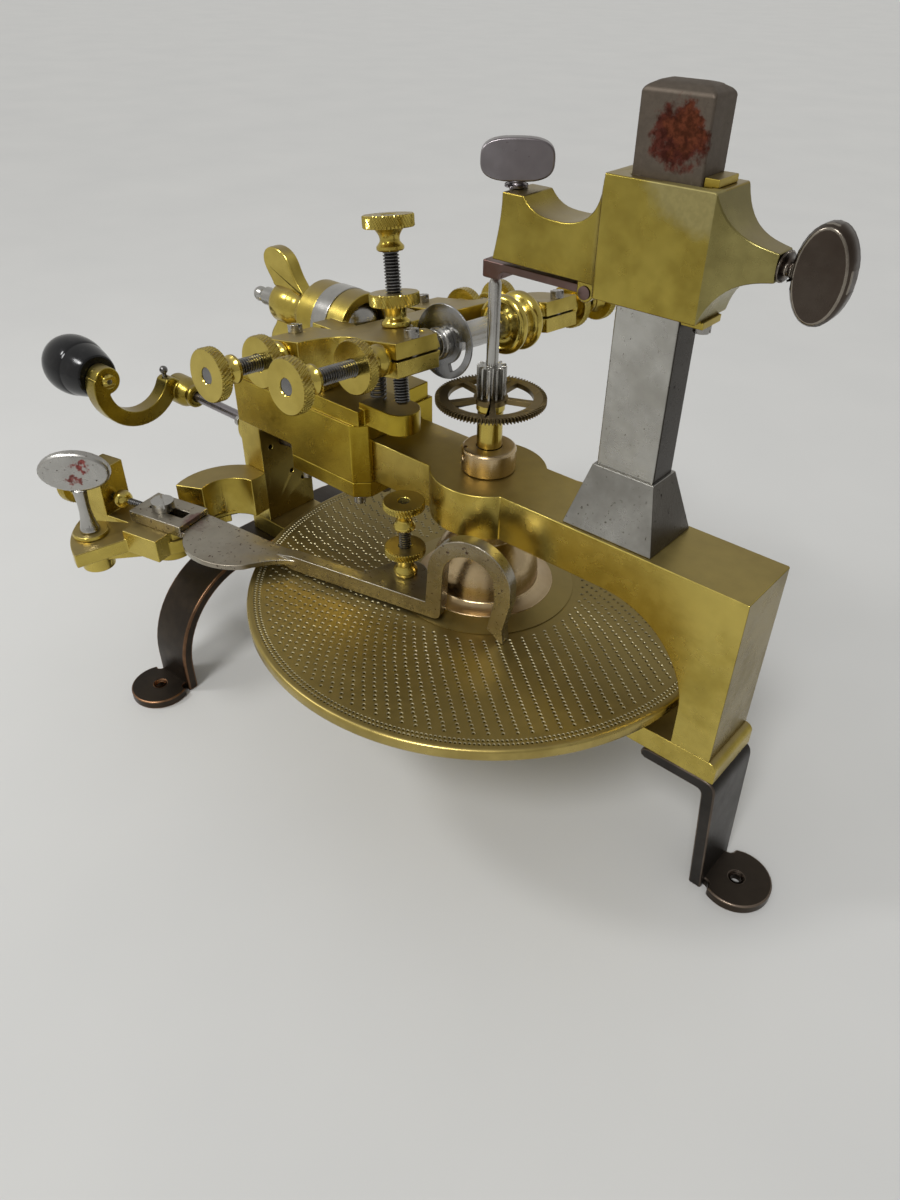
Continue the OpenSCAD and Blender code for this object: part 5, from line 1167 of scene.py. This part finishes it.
@dataclass
class Feed(SubAssembly):
    """Saddle on the bed with its lead screw, crank and knob."""

    saddle_right: float = -44.48
    cornice_z: float = 133.8
    corner: float = 5.0
    corner_tool: Triple = (30.0, 30.0, 60.0)
    lead_left: float = -185.0
    lead_z: float = 99.85
    lead_r: float = 2.75
    knob_place: Triple = (-194.3, -37.9, 117.05)
    knob_bore: float = 2.6
    knob_pin_y: float = -20.0

    def build(self) -> None:
        """Builds and dresses the feed's pieces."""
        self.build_saddle()
        self.cheese("saddle_screws")
        self.plain(Finish.BLACK, "return_spring")
        self.build_lead_screw()
        self.eased(Finish.BRONZE, 0.4, "lead_nut")
        self.eased(Finish.BRASS_UPRIGHT, 0.6, "crank_arm", segments=3)
        self.build_pins()
        self.build_knob()

    def build_saddle(self) -> None:
        """Builds the saddle and the plate under it, with their front right corners cut off."""
        wide, _, high = self.corner_tool
        out = (wide / 2 - self.corner / math.sqrt(2)) / math.sqrt(2)
        for node in ("saddle", "saddle_gib_plate"):
            obj = copy_of(node, f"{node}_cornered")
            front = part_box(node)[0].y / MM
            place = shift(self.saddle_right + out, front - out, self.cornice_z - high / 2) @ turned(45, "Z")
            cut(obj, block("corner", self.corner_tool, place))
            self.mount(self.ease(obj, (Finish.BRASS_SADDLE,), 0.4, 3), node)

    def build_lead_screw(self) -> None:
        """Turns the lead screw with its journal and cut thread."""
        r = self.lead_r
        outline = [(0.0, 134.5), (r - 0.6, 134.5)] + thread_points(r, 134.0, 73.3, 1.3, 0.5)
        outline += [(r + 0.3, 73.0), (r + 0.3, 49.7), (r - 0.4, 49.7), (r - 0.4, 0.3), (r - 0.7, 0.0), (0.0, 0.0)]
        place = shift(self.lead_left, 0.0, self.lead_z) @ turned(90, "Y")
        self.mount(lathe("lead_screw_cut", outline, 40, 30, place), "lead_screw", Finish.GREY_STEEL)

    def build_pins(self) -> None:
        """Builds the crank's pins: the knob's in brass with a dark peened end, the taper pin in dark steel."""
        edge = self.knob_pin_y * MM
        pins = copy_of("crank_pins", "crank_pins_peened")
        self.shelf.dress(pins, Finish.BLACK, Finish.BRASS_TURNED)
        reslot(pins, lambda face: face.center.y < edge)
        end = max(vertex.co.x for vertex in pins.data.vertices if vertex.co.y < edge) / MM
        smooth(pins, 30)
        dot = lathe("peened_end", [(0.0, -1.0), (1.2, -1.0), (1.2, 0.05), (0.8, 0.15), (0.0, 0.18)], 24, 30,
                    shift(end, *self.knob_place[1:]) @ turned(90, "Y"))
        self.shelf.dress(dot, Finish.BLACK)
        self.mount(join("crank_pins_peened", pins, dot), "crank_pins")

    def build_knob(self) -> None:
        """Turns the egg shaped knob with its collar, along -X."""
        bore = self.knob_bore
        outline = [(bore, 0.0), (8.6, 0.0), (9.3, 0.5), (9.6, 1.2)]
        outline += curve_points([(9.6, 1.2), (10.6, 4.0), (11.5, 7.0), (12.1, 10.6)], 8)
        outline += [(11.85, 11.0), (12.25, 11.5)]
        outline += curve_points([(12.25, 11.5), (13.3, 14.5), (13.5, 17.0), (13.5, 19.5)], 8)[1:]
        outline += curve_points([(13.5, 19.5), (13.4, 28.5), (7.5, 33.9), (bore, 33.95)], 16)[1:]
        place = shift(*self.knob_place) @ turned(-90, "Y")
        self.mount(lathe("egg_knob", outline + [(bore, 0.0)], 72, 30, place), "crank_knob", Finish.EBONISED)


@dataclass
class CutterHead(SubAssembly):
    """Swivel, swing frame, cutter spindle and their adjusting screws."""

    tilt: float = 4.9
    swing: float = 9.0
    pivot: Triple = (-54.981, 0.0, 161.581)
    wing_face: float = -27.8
    wing_turn: float = 4.0
    wing_middle: float = 18.6
    wing_wide: float = 1.22
    wing_t: float = 5.4
    wing_bore: float = 3.55
    pulley_r: float = 10.6
    pulley_w: float = 13.0
    pulley_bore: float = 3.5
    pulley_place: Triple = (34.0, 43.4, 0.0)
    stop_place: Point = (20.4, -8.5)
    stop_face: float = 5.5
    stop_boss: float = 7.0
    stop_thread: float = 13.0

    def swivel_place(self, turn: float = 0.0) -> Matrix:
        """Frame of the swivel's axis, turned about X by an angle in degrees."""
        return shift(*self.pivot) @ turned(turn - self.tilt, "X")

    def fork_place(self, x: float, y: float, z: float, turn: float = 0.0) -> Matrix:
        """Place in the swing frame's own frame, with -Z turned about X by an angle in degrees."""
        return self.swivel_place() @ turned(-self.swing, "Y") @ shift(x, y, z) @ turned(turn, "X")

    def build(self) -> None:
        """Builds and dresses the head's pieces."""
        self.eased(Finish.BRASS, 0.4, "swivel_pedestal", "swivel_head", "swing_frame", segments=3)
        self.eased(Finish.STEEL, 0.4, "swivel_ring")
        self.plain(Finish.STEEL, "swivel_shaft")
        self.build_wing_nut()
        self.cheese("clamp_screws")
        self.build_pulley()
        self.eased(Finish.STEEL, 0.3, "cutter_collar")
        self.eased(Finish.STEEL, 0.2, "cutter_spindle")
        self.eased(Finish.CUTTER_STEEL, 0.2, "cutter")
        self.build_facing("pivot_screws", "pivot_lock_nuts",
                          ((0.0, -43.0, -18.0, -1, 5.5, 9.0), (0.0, 43.0, 18.0, 1, 5.5, 11.0)))
        self.build_facing("centre_screws", "centre_lock_nuts",
                          ((34.0, -30.0, -10.7, -1, 9.0, 15.0), (34.0, 68.8, 49.5, 1, 4.0, 8.0)))
        self.build_stop()

    def build_wing_nut(self) -> None:
        """Builds the wing nut: a turned hub with two leaf shaped wings."""
        bore, axis = self.wing_bore, self.swivel_place(self.wing_turn)
        outline = [(bore, 0.0), (8.4, 0.0), (9.0, 0.5), (9.0, 1.1), (8.5, 1.55)]
        outline += curve_points([(8.4, 1.6), (6.0, 2.0), (6.0, 4.0), (7.4, 4.9)], 8)
        outline += [(7.6, 5.3), (7.6, 6.3), (7.2, 6.9)]
        outline += curve_points([(6.4, 7.4), (5.6, 10.0), (7.0, 12.0), (7.6, 13.6)], 8)
        outline += [(7.6, 21.4), (7.2, 22.4), (6.4, 23.0), (bore, 23.0), (bore, 0.0)]
        hub = lathe("wing_nut_leaved", outline, 72, 34, axis @ shift(self.wing_face, 0.0, 0.0) @ turned(-90, "Y"))
        leaf = [(-4.4, 5.6), (-5.0, 8.0), (-7.2, 11.2), (-8.6, 14.4), (-8.4, 17.6), (-6.6, 19.9), (-3.6, 20.9),
                (-0.4, 20.6), (2.2, 19.0), (4.0, 16.4), (5.2, 13.2), (6.8, 10.2), (8.6, 7.8), (9.6, 6.4), (9.6, 5.6)]
        middle = self.wing_face - self.wing_middle
        wing = slab("wing_leaf", rounded([(middle + self.wing_wide * x, z) for x, z in leaf]), self.wing_t)
        self.ease(wing, (Finish.BRASS_TURNED,), 1.0, 4)
        other = twin(wing, axis @ turned(180, "X"))
        settle(wing, axis)
        self.shelf.dress(hub, Finish.BRASS_TURNED)
        self.mount(join("wing_nut_leaved", hub, wing, other), "wing_nut")

    def build_pulley(self) -> None:
        """Turns the belt pulley: two rounded flanges with a deep groove between them."""
        r, width, bore = self.pulley_r, self.pulley_w, self.pulley_bore
        half = [(4.6, 0.0), (5.0, -0.5), (7.6, -0.5), (8.2, 0.0), (r - 1.5, -0.1), (r - 0.55, -0.6), (r - 0.1, -1.4),
                (r, -2.2), (r - 0.25, -3.1), (r - 1.0, -3.9)]
        half += curve_points([(r - 1.5, -4.2), (r - 3.2, -4.9), (r - 4.2, -5.6), (r - 4.4, -6.5)], 6)
        outline = [(bore, -0.4), (bore + 0.4, 0.0)] + half + [(x, -width - z) for x, z in reversed(half[:-1])]
        outline += [(bore + 0.4, -width), (bore, 0.4 - width), (bore, -0.4)]
        pulley = lathe("belt_pulley_grooved", outline, 72, 40, self.fork_place(*self.pulley_place, -90.0))
        self.mount(pulley, "belt_pulley", Finish.BRASS_TURNED)

    def build_facing(self, screw_node: str, nut_node: str, rows: tuple) -> None:
        """Builds two facing screws with their nuts.

        Args:
            screw_node: Solid of the screws.
            nut_node: Solid of the nuts.
            rows: For each screw: x, arm's face, point, side, boss height and bare thread.
        """
        screws, nuts = [], []
        for x, face, tip, side, boss, thread in rows:
            nut_top = face + side * (boss + ScrewSizes.head_t)
            top = nut_top + side * (thread + KnurledScrew.neck_h + ScrewSizes.head_t)
            screws.append(KnurledScrew("facing_screw", abs(top - tip)).build(self.shelf))
            settle(screws[-1], self.fork_place(x, top, 0.0, -90.0 * side))
            nuts.append(KnurledNut("facing_nut", boss).build(self.shelf))
            settle(nuts[-1], self.fork_place(x, nut_top, 0.0, -90.0 * side))
        self.mount(join(f"{screw_node}_knurled", *screws), screw_node)
        self.mount(join(f"{nut_node}_knurled", *nuts), nut_node)

    def build_stop(self) -> None:
        """Builds the upright stop screw with its nut."""
        nut_top = self.stop_face + self.stop_boss + ScrewSizes.head_t
        head = self.fork_place(*self.stop_place, nut_top + self.stop_thread + KnurledScrew.neck_h + ScrewSizes.head_t)
        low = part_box("stop_screw")[0].z / MM
        length = (head.translation.z - low) / math.cos(math.radians(self.swing))
        screw = KnurledScrew("stop_screw_knurled", length - 0.4, point=False).build(self.shelf)
        settle(screw, head)
        self.mount(screw, "stop_screw")
        nut = KnurledNut("stop_lock_nut_knurled", self.stop_boss).build(self.shelf)
        settle(nut, self.fork_place(*self.stop_place, nut_top))
        self.mount(nut, "stop_lock_nut")


@dataclass
class IndexGear(SubAssembly):
    """Bracket, sector, tangent screw and the sprung index arm with its screw."""

    arm_angle: float = 12.9
    arm_off: float = 29.8
    screw_place: Triple = (-23.0, 9.9, 86.2)
    screw_r: float = 2.2
    screw_top: float = 31.0
    screw_under: float = 3.8
    nut_top: float = 12.0
    sizes: ScrewSizes = ScrewSizes(head_r=7.6, head_t=2.9, rows=5)
    sector: float = -132.9
    tangent_z: float = 84.4
    tangent_face: float = 53.45
    ball_r: float = 4.0
    ball_off: float = 23.2
    thumb_neck_z: float = 98.2

    def arm_place(self, along: float, across: float, height: float) -> Matrix:
        """Place in the index arm's own frame."""
        return turned(self.arm_angle, "Z") @ shift(along, across - self.arm_off, height)

    def build(self) -> None:
        """Builds and dresses the index gear's pieces."""
        self.eased(Finish.BRASS, 0.45, "bracket_arm", "sector_plate", segments=3)
        self.eased(Finish.BRASS_TURNED, 0.3, "thumbscrew_washer")
        self.build_thumb()
        self.build_tangent()
        self.eased(Finish.ARM_STEEL, 0.35, "index_foot")
        self.cheese("index_foot_screw")
        self.eased(Finish.ARM_STEEL, 0.3, "index_arm", segments=3)
        self.build_index_screw()

    def build_index_screw(self) -> None:
        """Builds the upright index screw with its lock nut."""
        foot, r = self.arm_place(*self.screw_place), self.screw_r
        length = self.screw_top + self.screw_under
        screw = KnurledScrew("index_screw_knurled", length, r, 8.5, False, self.sizes).build(self.shelf)
        settle(screw, foot @ shift(0.0, 0.0, self.screw_top))
        self.mount(screw, "index_screw")
        boss = self.nut_top - self.sizes.head_t
        nut = KnurledNut("index_lock_nut_knurled", boss, r, self.sizes).build(self.shelf)
        settle(nut, foot @ shift(0.0, 0.0, self.nut_top))
        self.mount(nut, "index_lock_nut")

    def build_thumb(self) -> None:
        """Builds the sector's thumbscrew: a stained head on a polished neck."""
        thumb = copy_of("sector_thumbscrew", "sector_thumbscrew_stained")
        self.ease(thumb, (Finish.THUMB_STEEL, Finish.POLISHED), 0.45, 3)
        reslot(thumb, lambda face: face.center.z < self.thumb_neck_z * MM)
        self.mount(thumb, "sector_thumbscrew")

    def build_tangent(self) -> None:
        """Builds the tangent screw with its knurled head and its ball inside the block."""
        axis = self.arm_place(self.sector, 0.0, self.tangent_z) @ turned(-90, "Y")
        screw = KnurledScrew("tangent_screw_knurled", 46.9, 1.6, 10.4, False).build(self.shelf)
        settle(screw, axis @ shift(0.0, 0.0, self.tangent_face))
        place = axis @ shift(0.0, 0.0, self.ball_off)
        ball = lathe("tangent_ball", arc(self.ball_r, -90, 91, 10), 48, 30, place)
        self.shelf.dress(ball, Finish.BRASS_TURNED)
        self.mount(join("tangent_screw_knurled", screw, ball), "tangent_screw")


# Studio


@dataclass
class Studio:
    """Floor, light and camera."""

    eye: Triple = (174.02, -219.62, 279.64)
    yaw: float = 41.06
    pitch: float = 37.05
    roll: float = 0.54
    focal_px: float = 895.62
    frame_px: float = 1200.0
    floor_size: float = 80.0
    aim: Triple = (-0.02, 0.0, 0.1)
    sun_place: Triple = (0.12, -0.62, 0.85)
    lamp_place: Triple = (-0.4, -0.35, 0.6)

    def build(self) -> None:
        """Sets up the whole studio."""
        self.lay_floor()
        self.light_world()
        self.hang_lamps()
        self.place_camera()
        bpy.context.scene.view_settings.view_transform = "Standard"

    def lay_floor(self) -> None:
        """Lays a wide pale floor under the feet."""
        rest_bench()
        bpy.ops.mesh.primitive_plane_add(size=self.floor_size, location=(0, 0, 0))
        floor = bpy.context.object
        floor.name = "pale_floor"
        material, nodes, coords = start_material("pale_floor")
        cloud = nodes.noise(coords.outputs["Object"], 9.0, 3.0)
        colour = nodes.mix(cloud, (0.56, 0.562, 0.555), (0.62, 0.618, 0.605))
        shader = nodes.fill(nodes.add("BsdfPrincipled"), {"Roughness": 0.7, "Base Color": colour})
        nodes.fill(nodes.add("OutputMaterial"), {0: shader.outputs[0]})
        paint(floor, material)

    def light_world(self) -> None:
        """Sets the world's light, dimmer on the right."""
        world = bpy.data.worlds.new("soft_room")
        bpy.context.scene.world = world
        world.use_nodes = True
        world.node_tree.nodes.clear()
        nodes = Nodes(world.node_tree)
        x, _, z = nodes.parts(nodes.add("TexCoord").outputs["Generated"])
        colour = nodes.mix(nodes.ramp(z, 0.1, 0.95), (0.6, 0.59, 0.565), (0.56, 0.56, 0.55))
        colour = nodes.mix(nodes.ramp(x, -0.1, 0.95), colour, (0.36, 0.355, 0.345))
        back = nodes.fill(nodes.add("Background"), {"Color": colour, "Strength": 1.0})
        nodes.fill(nodes.add("OutputWorld"), {0: back.outputs[0]})

    def hang_lamps(self) -> None:
        """Hangs the soft sun and a lamp near the camera."""
        sun = bpy.data.lights.new("soft_sun", "SUN")
        sun.energy = 1.5
        sun.angle = math.radians(16)
        lamp = bpy.data.lights.new("camera_lamp", "AREA")
        lamp.shape = "DISK"
        lamp.size = 0.12
        lamp.energy = 1.2
        for light, place in ((sun, self.sun_place), (lamp, self.lamp_place)):
            obj = bpy.data.objects.new(light.name, light)
            bpy.context.scene.collection.objects.link(obj)
            obj.location = place
            obj.rotation_euler = (Vector(self.aim) - Vector(place)).to_track_quat("-Z", "Y").to_euler()

    def place_camera(self) -> None:
        """Places the camera at the photograph's viewpoint."""
        data = bpy.data.cameras.new("photo_camera")
        data.sensor_fit = "VERTICAL"
        data.sensor_height = 36.0
        data.lens = self.focal_px / self.frame_px * data.sensor_height
        data.clip_start, data.clip_end = 0.01, 120.0
        camera = bpy.data.objects.new("photo_camera", data)
        bpy.context.scene.collection.objects.link(camera)
        yaw, pitch, roll = (math.radians(a) for a in (self.yaw, self.pitch, self.roll))
        ahead = Vector((-math.sin(yaw) * math.cos(pitch), math.cos(yaw) * math.cos(pitch), -math.sin(pitch)))
        right = Vector((math.cos(yaw), math.sin(yaw), 0.0))
        up = right.cross(ahead)
        turned_right = right * math.cos(roll) + up * math.sin(roll)
        turned_up = up * math.cos(roll) - right * math.sin(roll)
        turn = Matrix((turned_right, turned_up, -ahead)).transposed().to_4x4()
        camera.matrix_world = Matrix.Translation(Vector(self.eye) * MM) @ turn
        bpy.context.scene.camera = camera


def main() -> None:
    """Builds the sub-assemblies in order, then the studio."""
    logging.basicConfig(level=logging.INFO, format="%(name)s: %(message)s")
    shelf = Shelf()
    for part in (Bed, Overarm, DividingSpindle, Feed, CutterHead, IndexGear):
        LOG.info("building %s", part.__name__)
        part(shelf).build()
    Studio().build()
    rest_bench()


if __name__ == "__main__":
    main()
